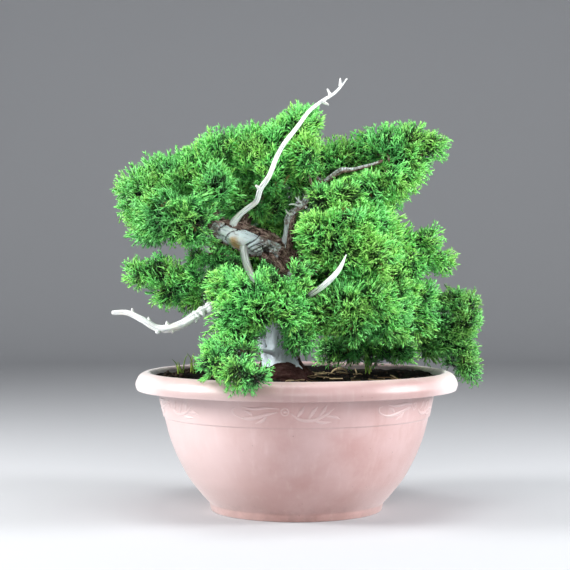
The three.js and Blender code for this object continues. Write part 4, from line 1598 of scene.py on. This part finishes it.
JINS: list[Jin] = [
    Jin(
        "jin_apex",
        (
            (-54, -12, 254, 4.4), (-58, -19, 265, 4.8), (-53, -23, 272, 3.6), (-46, -26, 278, 3.2),
            (-37, -30, 285, 3.1),
            (-33, -34, 296, 3.1), (-25, -38, 308, 2.8), (-19, -40, 323, 2.6), (-12, -40, 336, 2.5),
            (1, -36, 353, 2.4), (11, -30, 367, 2.2), (23, -24, 377, 2.1), (36, -20, 386, 1.8),
            (46, -18, 398, 1.0),
        ),
        (
            ((23, -24, 377, 2), (29, -25, 373.5, 1)), ((31, -22, 383, 1.6), (28, -23, 388, 0.9)),
            ((40, -19, 391, 1.5), (40, -20, 398, 0.8)),
            ((-33, -34, 296, 2.4), (-37, -36, 299, 1.4)),
        ),
        seed=3,
        slim=0.74,
    ),
    Jin(
        "jin_left",
        (
            (-20, -6, 183, 7), (-43, -24, 187, 6), (-62, -36, 190, 5.4), (-76, -42, 190, 5.2),
            (-83, -44, 186, 5), (-92, -46, 181, 4.8), (-103, -48, 174, 4.4), (-116, -50, 170, 3.8),
            (-126, -50, 170.5, 3.4), (-139, -50, 178, 3), (-153, -48, 184, 2.5),
            (-166, -46, 184, 2),
        ),
        (
            ((-124, -50, 171, 3.4), (-125.5, -51, 166.4, 2.6)),
            ((-148, -48, 182, 2), (-148.5, -48, 187.6, 1.1)),
            ((-116, -50, 171, 3), (-117, -51, 176, 1.1)),
            ((-133, -50, 175.5, 2), (-133.5, -50, 180.3, 0.9)),
            ((-90, -45, 182, 3), (-91, -47, 175.6, 1.2)),
            ((-111, -49, 171, 2.6), (-112, -50, 166, 0.9)),
        ),
        columns=40,
        seed=11,
        slim=0.92,
        coils=(60.0, 87.0),
        coil_depth=1.15,
    ),
    Jin(
        "jin_claw",
        (
            (-6, 0, 206, 4.5), (1, -40, 197, 4), (9, -66, 199, 3.4), (21, -76, 207, 3.4),
            (31, -80, 216, 3.2), (38, -82, 225, 2.4), (43, -82, 236, 0.7),
        ),
        seed=21,
        slim=0.7,
    ),
    Jin(
        "jin_low",
        (
            (-48, -15, 250, 4.6), (-48, -23, 240, 4.6), (-46, -26, 230, 4.2), (-41, -28, 218, 3.5),
            (-36, -28, 209, 2),
        ),
        seed=31,
        stain=0.75,
    ),
]


# The foliage.


def turned(axis: np.ndarray, angle: float) -> np.ndarray:
    """A matrix that turns things about an axis."""
    return np.array(Matrix.Rotation(angle, 3, Vector(axis)))


def aimed(aim: np.ndarray, roll: float) -> np.ndarray:
    """A matrix that points the Z axis along a direction, rolled about it."""
    start = np.array([0, 0, 1.0]) if abs(aim[2]) < 0.9 else np.array([1.0, 0, 0])
    side = unit(np.cross(start, aim))
    return turned(aim, roll) @ np.stack([side, np.cross(aim, side), aim], 1)


@dataclass(frozen=True)
class Sprig:
    """A forked shoot of scale leaves, 1 long: a leading whip, and side whips that fork again."""

    seed: int
    side_whips: int = 7
    forked: int = 7
    radius: float = 0.033
    longest: float = 0.72
    flat: float = 0.4

    def whip(self, foot: np.ndarray, end: np.ndarray, roll: float) -> bpy.types.Mesh:
        """One thin whip of four faces, about as thick for most of its length.

        Args:
            foot: Where it grows from.
            end: Its tip.
            roll: Its turn about its own line.

        Returns:
            The closed mesh.
        """
        length, r = float(np.linalg.norm(end - foot)), self.radius
        shape = bmesh.new()
        bmesh.ops.create_cone(shape, cap_ends=True, segments=3, radius1=r, radius2=0, depth=length)
        bmesh.ops.remove_doubles(shape, verts=shape.verts, dist=1e-5)
        bend = [(r, 0.8 * r, 0.28 * length), (-r, 0.8 * r, 0.78 * length)]
        corners = [(0, 0, 0), *bend, (0, 0, length)]
        for vertex, corner in zip(sorted(shape.verts, key=lambda v: (v.co.z, v.co.x)), corners):
            vertex.co = corner
        bmesh.ops.recalc_face_normals(shape, faces=shape.faces)
        mesh = mesh_from(shape, "whip")
        set_places(mesh, get_places(mesh) @ aimed(unit(end - foot), roll).T + foot)
        return mesh

    def build(self) -> bpy.types.Mesh:
        """Builds the sprig with its base at the origin, growing along Z."""
        draw = np.random.default_rng(self.seed)
        top, bend = np.array([0, 0, 1.0]), np.array([*draw.uniform(-0.08, 0.08, 2), 0.0])
        whips = [
            self.whip(np.zeros(3), 0.62 * top + bend, 0.0),
            self.whip(0.45 * top + 0.85 * bend, top + 0.6 * bend, 1.0),
        ]
        for i in range(self.side_whips):
            start = 0.14 + 0.66 * i / max(1, self.side_whips - 1) + draw.uniform(-0.03, 0.03)
            turn = math.pi * (i % 2) + draw.uniform(-self.flat, self.flat)
            out = np.array([math.cos(turn), math.sin(turn), 0])
            splay = math.radians(draw.uniform(26, 42))
            aim = out * math.sin(splay) + top * math.cos(splay)
            across = out * math.cos(splay) - top * math.sin(splay)
            length = self.longest * (1.1 - 0.7 * start) * draw.uniform(0.8, 1.2)
            foot = start * top + min(1.0, 1.6 * start) * bend
            whips.append(self.whip(foot, foot + length * aim, draw.uniform(0, ANY_TURN)))
            if i < self.forked:
                fork = foot + draw.uniform(0.3, 0.55) * length * aim
                side = draw.choice((-1, 1)) * draw.uniform(0.5, 0.8)
                way = unit(aim + side * across + 0.12 * draw.normal(size=3))
                whips.append(self.whip(fork, fork + draw.uniform(0.45, 0.6) * length * way, 2.0))
        sprig = joined(whips, "sprig")
        set_values(sprig, "along", np.clip(get_places(sprig)[:, 2], 0, 1))
        for name in ("tone", "out", "dry", "hue", "shade"):
            set_value(sprig, name, 0.0)
        return sprig


@dataclass(frozen=True)
class Spray:
    """One branchlet of a pad: its fork, the foot of its leaves, its line and its reach."""

    fork: np.ndarray
    base: np.ndarray
    axis: np.ndarray
    reach: float

    def middle(self) -> np.ndarray:
        """The middle of the spray."""
        return self.base + 0.75 * self.reach * self.axis


@dataclass(frozen=True)
class Pad:
    """A pad of foliage that grows from the end of one branch."""

    node: str
    branch: str
    lift: Place
    sprays: tuple[Row, ...]
    fill: tuple[Row, ...] = ()
    hue: float = 0.0
    shade: float = 0.0

    def grown(self) -> list[Spray]:
        """The pad's sprays, each growing from the nearest fork."""
        course = Course(BRANCHES[self.branch])
        forks = [course.places[-1] + PAST_END * course.ahead[-1]]
        waiting = [np.array(spray, float) for spray in self.sprays]
        found = []
        while waiting:
            gaps = [[np.linalg.norm(fork - spray[:3]) for spray in waiting] for fork in forks]
            chosen_fork, chosen = np.unravel_index(np.argmin(gaps), (len(forks), len(waiting)))
            fork, spray = forks[chosen_fork], waiting.pop(chosen)
            axis = unit(unit(spray[:3] - fork) + np.array(self.lift))
            base = spray[:3] - 0.75 * spray[3] * axis
            found.append(Spray(fork, base, axis, float(spray[3])))
            forks.append(base + 0.3 * spray[3] * axis)
        return found


PADS: list[Pad] = [
    Pad("foliage_left", "left", (-0.3, 0, 0.25), (
        (-145, -10, 291, 22), (-120, -35, 270, 23), (-117, -5, 306, 22), (-92, -42, 264, 22),
        (-135, -20, 264, 18), (-126, 16, 284, 18),
    ), ((-84, -30, 250, 9), (-74, -27, 247, 7)), -0.4, 0.2),
    Pad("foliage_top", "top", (-0.1, 0, 0.5), (
        (-95, 0, 312, 22), (-70, 8, 333, 21), (-75, -26, 298, 18), (-88, 32, 300, 20),
    ), (), -0.3, 0.1),
    Pad("foliage_apex", "apex", (0.1, 0, 0.6), (
        (-43, 5, 333, 20), (-17, 0, 340, 19), (1, -2, 357, 17), (-23, -8, 312, 18),
        (-33, 45, 285, 22),
        (-56, 38, 303, 21), (15, 6, 362, 10), (-6, 26, 322, 17),
    ), (
        (-14, 34, 286, 15), (-60, 40, 282, 15), (-70, 30, 296, 14), (-36, 0, 277, 12),
        (-20, 12, 281, 13),
        (-6, 22, 278, 11),
    )),
    Pad("foliage_upper_middle", "upper_fork", (0, 0, 0.5), (
        (7, -16, 329, 16), (31, 8, 325, 16), (50, 6, 328, 17), (22, -28, 284, 16),
        (44, -30, 290, 17),
        (47, 40, 308, 19),
    ), (
        (20, 20, 290, 14), (8, 14, 306, 12), (0, 8, 298, 11), (-2, 2, 314, 11), (16, -8, 312, 11),
        (34, -2, 312, 12),
    ), 0.7),
    Pad("foliage_upper_right", "second_leader", (0.3, 0, 0.3), (
        (70, 4, 334, 18), (88, -4, 339, 15), (106, -6, 345, 13), (128, -6, 338, 12),
        (107, -8, 319, 15),
        (90, -14, 304, 17), (67, -22, 295, 17), (85, 6, 289, 12), (92, 36, 322, 17),
    )),
    Pad("foliage_middle_right", "middle_right", (0.3, -0.2, 0.25), (
        (19, -44, 256, 18), (48, -38, 266, 19), (75, -14, 262, 18), (98, -4, 246, 15),
        (121, -4, 250, 12),
        (135, -2, 230, 11), (101, -14, 222, 17), (72, -46, 234, 19), (44, -46, 234, 19),
    ), (
        (18, -50, 240, 12), (8, -44, 246, 9), (9, -44, 228, 12), (84, -30, 246, 14),
        (60, -30, 250, 14),
        (116, -8, 232, 12), (92, -30, 214, 13),
    ), 0.4),
    Pad("foliage_lower_right", "lower_right", (0.2, -0.2, -0.15), (
        (118, -4, 198, 13), (95, -14, 196, 18), (68, -50, 196, 20), (38, -64, 192, 19),
        (15, -70, 182, 17),
        (50, -60, 174, 16), (83, -36, 173, 18), (110, 0, 174, 16),
    ), (
        (122, 2, 184, 13), (96, -30, 186, 13), (5, -80, 161, 9), (112, -8, 186, 12),
        (70, -44, 184, 13),
        (118, -2, 172, 11), (92, -40, 204, 12),
    ), 0.0, 0.08),
    Pad("foliage_far_right", "far_right", (0.3, 0, -0.25), (
        (144, 14, 194, 12), (166, 18, 190, 12), (160, 16, 174, 15), (143, 20, 160, 15),
        (157, 18, 146, 13),
        (162, 10, 129, 11), (130, 38, 150, 14),
    ), (
        (138, 12, 176, 13), (146, 14, 134, 10), (132, 16, 190, 10), (150, 14, 186, 12),
    ), -0.1, 0.3),
    Pad("foliage_rear_right", "rear_right", (0, 0.2, -0.1), (
        (32, 46, 145, 12), (50, 60, 145, 14), (77, 70, 145, 15), (104, 66, 144, 14),
    )),
    Pad("foliage_middle_left", "middle_left", (-0.4, 0, 0.1), (
        (-144, -34, 219, 12), (-124, -34, 221, 14), (-119, -34, 203, 13), (-99, -30, 212, 15),
        (-97, -24, 194, 12),
    ), ((-80, -26, 214, 9), (-77, -22, 200, 8)), -0.4, 0.03),
    Pad("foliage_under", "under", (0, 0, -0.5), (
        (-92, -22, 233, 9), (-70, -24, 234, 9), (-56, -34, 229, 7),
    ), ((-84, -25, 232, 8), (-76, -24, 226, 8), (-64, -28, 228, 7), (-95, -25, 228, 7)), -1.0),
    Pad("foliage_front", "front", (0, -0.3, -0.2), (
        (-64, -62, 208, 16), (-43, -76, 204, 18), (-17, -68, 212, 17), (-59, -76, 184, 18),
        (-33, -86, 184, 18), (-8, -86, 184, 17), (-54, -84, 166, 14), (2, -78, 162, 14),
    ), (
        (2, -68, 222, 13), (-12, -58, 226, 11), (8, -74, 202, 13), (-42, -76, 163, 12),
        (-36, -64, 222, 9),
        (-46, -72, 177, 11), (-76, -62, 197, 8),
    ), -0.5),
    Pad("foliage_hanging", "hanging", (-0.1, -0.3, -0.35), (
        (-66, -110, 152, 15), (-74, -134, 142, 12), (-50, -152, 136, 14), (-34, -156, 132, 10),
        (-44, -108, 150, 11),
    ), ((-44, -140, 143, 10), (-60, -124, 148, 10), (-27, -150, 137, 8)), -0.4),
    Pad("foliage_rear_left", "rear_left", (-0.1, 0.4, 0.2), (
        (-33, 72, 228, 21), (-54, 60, 203, 18), (-19, 72, 262, 18), (-64, 52, 240, 18),
        (-26, 62, 190, 16),
    ), ((-30, 48, 260, 15), (-50, 50, 262, 13))),
    Pad("foliage_rear_middle", "rear_middle", (0.2, 0.4, 0.1), (
        (8, 82, 248, 20), (36, 76, 226, 20), (64, 64, 206, 18), (6, 84, 202, 18), (50, 58, 264, 18),
        (78, 52, 240, 17), (36, 66, 190, 16),
    ), ((14, 62, 270, 13), (-2, 50, 266, 13), (30, 52, 270, 13))),
]


@dataclass(frozen=True)
class Window:
    """A stretch of wood that the foliage leaves in view from the front."""

    rows: Sequence[Row]
    start: float
    end: float
    margin: float


WINDOWS: list[Window] = [
    Window(JINS[0].rows, 0.1, 1.0, 2.0),
    Window(JINS[1].rows, 0.34, 1.0, 1.5),
    Window(JINS[2].rows, 0.4, 1.0, 1.5),
    Window(JINS[3].rows, 0.0, 0.78, 1.0),
    Window(TRUNK, 0.725, 0.96, -1.5),
    Window([(-20, -14, 168, 4), (-21, -14, 156, 5), (-18, -14, 142, 7)], 0.0, 1.0, 0.0),
    Window(BRANCHES["second_leader"], 0.06, 0.44, 0.5),
    Window(BRANCHES["second_leader"], 0.62, 0.88, 0.5),
    Window(BRANCHES["broken_stub"], 0.0, 1.0, 2.2),
    Window(THIN_TWIGS[1], 0.3, 1.0, 0.6),
    Window(THIN_TWIGS[2], 0.1, 1.0, 0.4),
]


@dataclass(frozen=True)
class Layer:
    """The shoots near the face of a clump, or those deep inside it."""

    inner: bool
    share: float
    depth: float
    overlap: float
    strays: float


LAYERS = (Layer(False, 1.0, 0.96, 0.24, 0.1), Layer(True, 0.25, 0.6, 0.45, 0.0))


@dataclass
class Foliage:
    """All the pads: sprigs that stand out all round each spray, and the twigs that carry them."""

    wood: Stretches
    eye: Place = (-10.7, -1440.0, 227.0)
    swell: float = 2.5
    spacing: float = 7.8
    clear: float = 0.9
    longest: float = 23.0
    dry_share: float = 0.018
    drift_seed: int = 1
    rim: tuple[float, float] = (124.0, 151.5)
    twigs: list[bpy.types.Mesh] = field(default_factory=list)
    circles: np.ndarray = field(init=False)

    def __post_init__(self) -> None:
        """Works out what the foliage must leave in view."""
        found = []
        for window in WINDOWS:
            course = Course(window.rows, 5)
            kept = (course.share >= window.start) & (course.share <= window.end)
            places, radii = course.places[kept], course.radii[kept] + window.margin
            found.append(np.column_stack([self.seen(places), radii, places[:, 1]]))
        self.circles = np.vstack(found)

    def seen(self, places: np.ndarray) -> np.ndarray:
        """Places as seen from the front, at the scale of the trunk."""
        near = -self.eye[1] / (places[:, 1] - self.eye[1])
        across, up = places[:, 0] - self.eye[0], places[:, 2] - self.eye[2]
        return np.column_stack([across * near, up * near])

    def blocked(self, places: np.ndarray) -> np.ndarray:
        """Whether each place hides wood that is left in view."""
        seen = self.seen(places)
        off = np.hypot(seen[:, :1] - self.circles[:, 0], seen[:, 1:] - self.circles[:, 1])
        return ((off < self.circles[:, 2]) & (places[:, 1:2] < self.circles[:, 3])).any(1)

    def free(self, places: np.ndarray, low: np.ndarray, high: np.ndarray) -> np.ndarray:
        """Whether each place may hold leaves.

        Args:
            places: The places.
            low: The lowest corner of the pad's box.
            high: Its highest corner.

        Returns:
            One answer for each place.
        """
        out = np.hypot(places[:, 0], places[:, 1])
        rim_start, rim_end = self.rim
        over_soil = 122.5 + 4.5 * smooth(out, 100, rim_start)
        floor = np.where(out < rim_start, over_soil, np.where(out < rim_end, 130.2, -99.0))
        inside = ((places > low) & (places < high)).all(1)
        return inside & (places[:, 2] > floor) & ~self.blocked(places)

    def clumps(
        self, pad: Pad, sprays: Sequence[Spray], draw: np.random.Generator
    ) -> np.ndarray:
        """The round clumps of a pad: one for each spray, those between neighbours, and its fill.

        Args:
            pad: The pad.
            sprays: The pad's sprays.
            draw: The seeded draw.

        Returns:
            Rows of middle, radius and the direction of growth.
        """
        found = [[*spray.middle(), spray.reach + self.swell, *spray.axis] for spray in sprays]
        for i, one in enumerate(sprays):
            for other in sprays[i + 1 :]:
                gap = np.linalg.norm(one.middle() - other.middle())
                mean = 0.5 * (one.reach + other.reach)
                if 1.15 * mean < gap < 2.3 * mean:
                    middle = 0.5 * (one.middle() + other.middle())
                    middle = middle + draw.normal(0, 0.12 * mean, 3)
                    found.append([*middle, 0.86 * mean, *unit(one.axis + other.axis)])
                    base = self.nearest_base((one, other), middle)
                    self.twig(base, base, middle, 0.8, draw)
        for *row, reach in pad.fill:
            place = np.array(row)
            base = self.nearest_base(sprays, place)
            found.append([*row, reach, *unit(place - base)])
            self.twig(base, base, place, 0.8, draw)
        return np.array(found)

    @staticmethod
    def nearest_base(sprays: Sequence[Spray], place: np.ndarray) -> np.ndarray:
        """The base of the spray that starts nearest to a place."""
        return min((spray.base for spray in sprays), key=lambda base: np.linalg.norm(base - place))

    def sprigs(self, pad: Pad, draw: np.random.Generator) -> tuple[np.ndarray, np.ndarray]:
        """Proposes all the sprigs of a pad, and keeps its twigs.

        Args:
            pad: The pad.
            draw: The seeded draw.

        Returns:
            Rows of place, aim, length, roll, tone and whether it is inside, and the pad's clumps.
        """
        sprays = pad.grown()
        for spray in sprays:
            end = spray.base + 1.15 * spray.reach * spray.axis
            self.twig(spray.fork, spray.base, end, 1.5, draw)
        clumps = self.clumps(pad, sprays, draw)
        found = []
        for number, clump in enumerate(clumps):
            others = np.delete(clumps, number, 0)
            for layer in LAYERS:
                found += self.shoots(clump, others, layer, draw)
        return np.array(found), clumps

    def shoots(
        self, clump: np.ndarray, others: np.ndarray, layer: Layer, draw: np.random.Generator
    ) -> list[list[float]]:
        """Proposes the sprigs of one clump in one layer, spread evenly over a ball.

        Args:
            clump: The clump's row.
            others: The rows of the pad's other clumps.
            layer: The layer.
            draw: The seeded draw.

        Returns:
            The rows of the sprigs.
        """
        count = round(4 * math.pi * (clump[3] / self.spacing) ** 2 * layer.share)
        frame_turn = aimed(clump[4:], draw.uniform(0, ANY_TURN))
        found = []
        for i in range(count):
            rise = 1 - (2 * i + 1) / count
            around = math.sqrt(max(0.0, 1 - rise * rise))
            turn = i * GOLDEN_TURN
            way = frame_turn @ np.array([around * math.cos(turn), around * math.sin(turn), rise])
            way = unit(way + 0.12 * draw.normal(size=3))
            found += self.shoot(clump, others, layer, way, draw)
        return found

    def shoot(
        self,
        clump: np.ndarray,
        others: np.ndarray,
        layer: Layer,
        way: np.ndarray,
        draw: np.random.Generator,
    ) -> list[list[float]]:
        """Proposes one sprig, unless its tip is deep inside another clump.

        Args:
            clump: The clump's row.
            others: The rows of the pad's other clumps.
            layer: The layer.
            way: The direction out of the clump's middle.
            draw: The seeded draw.

        Returns:
            The sprig's row, or no row.
        """
        middle, reach, axis = clump[:3], clump[3], clump[4:]
        place = Vector(middle + reach * way)
        swell = noise.noise(place * 0.085)
        far = layer.depth + 0.16 * float(way @ axis) + 0.3 * swell
        stray = 0.2 if draw.random() < layer.strays else 0.0
        far = reach * (far + draw.uniform(-0.2, 0.14) + stray)
        tip = middle + far * way
        depth = (others[:, 3] - np.linalg.norm(others[:, :3] - tip, axis=1)) / others[:, 3]
        if len(depth) and depth.max() > layer.overlap:
            return []
        drift = np.array(noise.noise_vector(place * 0.07))
        aim = way + 0.55 * axis + 0.6 * drift + 0.2 * draw.normal(size=3) + [0, 0, 0.12]
        aim = unit(aim)
        length = min(self.longest, 9.5 + 0.6 * reach) * (draw.uniform(0.8, 1.15) + stray)
        tone = np.clip(0.5 + 0.7 * noise.noise(place * 0.11 + Vector((9, 4, 2))), 0, 1)
        own = np.clip(tone + 0.26 * draw.normal(), 0, 1)
        foot = tip - length * aim
        return [[*foot, *aim, length, draw.uniform(0, ANY_TURN), own, layer.inner]]

    def twig(
        self,
        fork: np.ndarray,
        base: np.ndarray,
        end: np.ndarray,
        radius: float,
        draw: np.random.Generator,
    ) -> None:
        """Keeps a twig that runs from a fork by a base to its end.

        Args:
            fork: Where it starts.
            base: A place on its way.
            end: Where it ends.
            radius: Its radius at the fork.
            draw: The seeded draw.
        """
        half = 0.5 * (fork + base) + draw.normal(0, 0.05 * float(np.linalg.norm(end - fork)), 3)
        rows = [(*fork, radius), (*half, 0.9 * radius), (*base, 0.8 * radius), (*end, 0.3 * radius)]
        if np.allclose(fork, base):
            middle = 0.5 * (fork + end) + draw.normal(0, 0.8, 3)
            rows = [(*fork, radius), (*middle, 0.8 * radius), (*end, 0.4 * radius)]
        mesh = Course(rows, 4).skin(6)
        set_value(mesh, "tone", 0.15 if radius > 1 else 0.5)
        self.twigs.append(mesh)

    def kept(self, pad: Pad, rows: np.ndarray, turns: np.ndarray) -> np.ndarray:
        """Which of a pad's sprigs are clear of the wood, the bowl and what must stay in view.

        Args:
            pad: The pad.
            rows: The rows of the proposed sprigs.
            turns: The matrix of each sprig.

        Returns:
            One answer for each sprig.
        """
        corners, whole = np.array(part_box(pad.node)) / MM, np.array(CAD_BOX) / MM
        low = np.maximum(corners[0] - 3, whole[0] + 1)
        high = np.minimum(corners[1] + 3, whole[1] - 1)
        probes = [(0, 0, 0.25), (0, 0, 1.0), (0.24, 0, 0.7), (-0.24, 0, 0.7), (0, 0, 0.6)]
        spots = np.einsum("nij,kj->nki", turns, np.array(probes)) + rows[:, None, :3]
        flat = spots.reshape(-1, 3)
        fine = self.free(flat, low, high) & (self.wood.nearest(flat)[0] > self.clear)
        return fine.reshape(len(rows), -1).all(1)

    def pad(
        self,
        number: int,
        pad: Pad,
        outer: Sequence[bpy.types.Mesh],
        inner: Sequence[bpy.types.Mesh],
    ) -> bpy.types.Mesh:
        """Builds one pad's leaves.

        Args:
            number: The pad's place in the list, which seeds its draw.
            pad: The pad.
            outer: The fine sprigs to copy.
            inner: The plain sprigs to copy deep inside.

        Returns:
            The mesh.
        """
        draw = np.random.default_rng(100 + number)
        rows, clumps = self.sprigs(pad, draw)
        turns = np.array([aimed(row[3:6], row[7]) for row in rows]) * rows[:, 6, None, None]
        fine = self.kept(pad, rows, turns)
        whole = np.array(CAD_BOX) / MM
        copies = Copies([*outer, *inner])
        for row, turn in zip(rows[fine], turns[fine]):
            first, shapes = (len(outer), inner) if row[9] else (0, outer)
            which = first + int(draw.integers(len(shapes)))
            places = copies.places[which] @ turn.T + row[:3]
            if (places < whole[0] + 0.4).any() or (places > whole[1] - 0.4).any():
                continue
            away = np.linalg.norm(places[:, None] - clumps[None, :, :3], axis=2) / clumps[:, 3]
            dry = float(draw.random() < self.dry_share)
            values = {"out": np.clip(away.min(1), 0, 1.2), "dry": 0.8 * dry}
            turn = turn * (1 - 0.4 * dry)
            copies.add(which, turn, row[:3], tone=row[8], hue=pad.hue, shade=pad.shade, **values)
        LOG.info("%s: %d of %d sprigs", pad.node, fine.sum(), len(rows))
        return copies.mesh(pad.node)

    def make(self, outer: Sequence[bpy.types.Mesh], inner: Sequence[bpy.types.Mesh]) -> None:
        """Builds and publishes all pads and their twigs.

        Args:
            outer: The fine sprigs to copy.
            inner: The plain sprigs to copy deep inside.
        """
        noise.seed_set(self.drift_seed)
        leaves = ScaleLeaves().material()
        for number, pad in enumerate(PADS):
            mesh = self.pad(number, pad, outer, inner)
            publish(mesh, pad.node + "_sprigs", leaves, [pad.node])
        for rows in THIN_TWIGS:
            self.twigs.append(Course(rows, 5).skin(7))
            set_value(self.twigs[-1], "tone", 0.0)
        publish(joined(self.twigs, "twigs"), "pad_twigs", TwigBark().material())


# The studio.


@dataclass(frozen=True)
class Softbox:
    """A soft square light that looks at the tree."""

    name: str
    place: Place
    size: float
    watts: float
    tint: tuple[float, float, float] = (1.0, 1.0, 1.0)

    def make(self, target: Place) -> None:
        """Builds the light.

        Args:
            target: What it looks at.
        """
        light = bpy.data.lights.new("light_" + self.name, "AREA")
        light.shape = "SQUARE"
        light.size = self.size
        light.energy = self.watts
        light.color = self.tint
        lamp = placed(light.name, light)
        lamp.location = self.place
        aim = Vector(target) - lamp.location
        lamp.rotation_euler = aim.to_track_quat("-Z", "Y").to_euler()


@dataclass(frozen=True)
class Studio:
    """The pale floor and backdrop, the lights and the camera, in metres."""

    wall_radius: float = 3.0
    curve: float = 0.8
    wall_height: float = 3.2
    lens: float = 97.64
    eye: Place = (-0.0107, -1.44, 0.227)
    down_degrees: float = 0.74
    target: Place = (0.0, 0.0, 0.2)
    world: float = 0.2
    world_tint: Colour = (0.93, 0.96, 1.0, 1.0)
    lights: tuple[Softbox, ...] = (
        Softbox("left", (-1.25, -0.25, 0.7), 0.5, 26.5, (1.0, 0.995, 0.99)),
        Softbox("right", (1.3, -0.25, 0.65), 0.5, 25.0, (0.985, 0.99, 1.0)),
        Softbox("front", (0.1, -1.35, 0.52), 0.5, 6.4, (0.985, 0.995, 1.0)),
        Softbox("above", (0.0, -0.2, 1.45), 0.7, 9.5),
    )

    def paper(self) -> None:
        """Builds the floor, which curves up into the backdrop."""
        flat = self.wall_radius - self.curve
        line = [(0.0, 0.0), (flat, 0.0)]
        for step in range(1, 13):
            turn = math.radians(7.5 * step)
            out, up = self.curve * (1 - math.sin(turn)), self.curve * (1 - math.cos(turn))
            line.append((self.wall_radius - out, up))
        line.append((self.wall_radius, self.wall_height))
        paper = spun(line, 128, "paper")
        paper.materials.append(StudioPaper().material())
        paper.shade_smooth()
        placed("paper", paper)

    def camera(self) -> None:
        """Places the camera."""
        camera = placed("camera", bpy.data.cameras.new("camera"))
        camera.data.lens = self.lens
        camera.data.sensor_width = 36.0
        camera.data.clip_end = 20.0
        camera.location = self.eye
        camera.rotation_euler = (math.radians(90 - self.down_degrees), 0, 0)
        bpy.context.scene.camera = camera

    def make(self) -> None:
        """Builds the backdrop, the lights, the camera and the world."""
        self.paper()
        for box in self.lights:
            box.make(self.target)
        self.camera()
        scene = bpy.context.scene
        scene.view_settings.view_transform = "Standard"
        scene.world = bpy.data.worlds.new("studio")
        scene.world.use_nodes = True
        ground = scene.world.node_tree.nodes["Background"]
        ground.inputs["Color"].default_value = self.world_tint
        ground.inputs["Strength"].default_value = self.world


def main() -> None:
    """Builds the bonsai and its studio."""
    logging.basicConfig(level=logging.INFO, format="%(message)s")
    Studio().make()
    Bowl().make()
    Wood().make()
    deadwood = BleachedWood().material()
    for jin in JINS:
        jin.make(deadwood)
    twigs = joined([Course(rows, 6).skin(10, Grain(5).relief) for rows in WHITE_TWIGS], "twigs")
    set_value(twigs, "crack", 0.0)
    publish(twigs, "white_twigs", deadwood)
    outer = [Sprig(seed).build() for seed in range(1, 7)]
    inner = [Sprig(seed, 6, 0, 0.05).build() for seed in range(7, 9)]
    moss = [Sprig(seed, 3, 0, 0.07).build() for seed in range(9, 12)]
    limbs = list(Wood().limbs().values())
    stretches = Stretches([*limbs, *(Course(jin.rows, 4) for jin in JINS)])
    Foliage(stretches).make(outer, inner)
    Soil().make(moss)


if __name__ == "__main__":
    main()
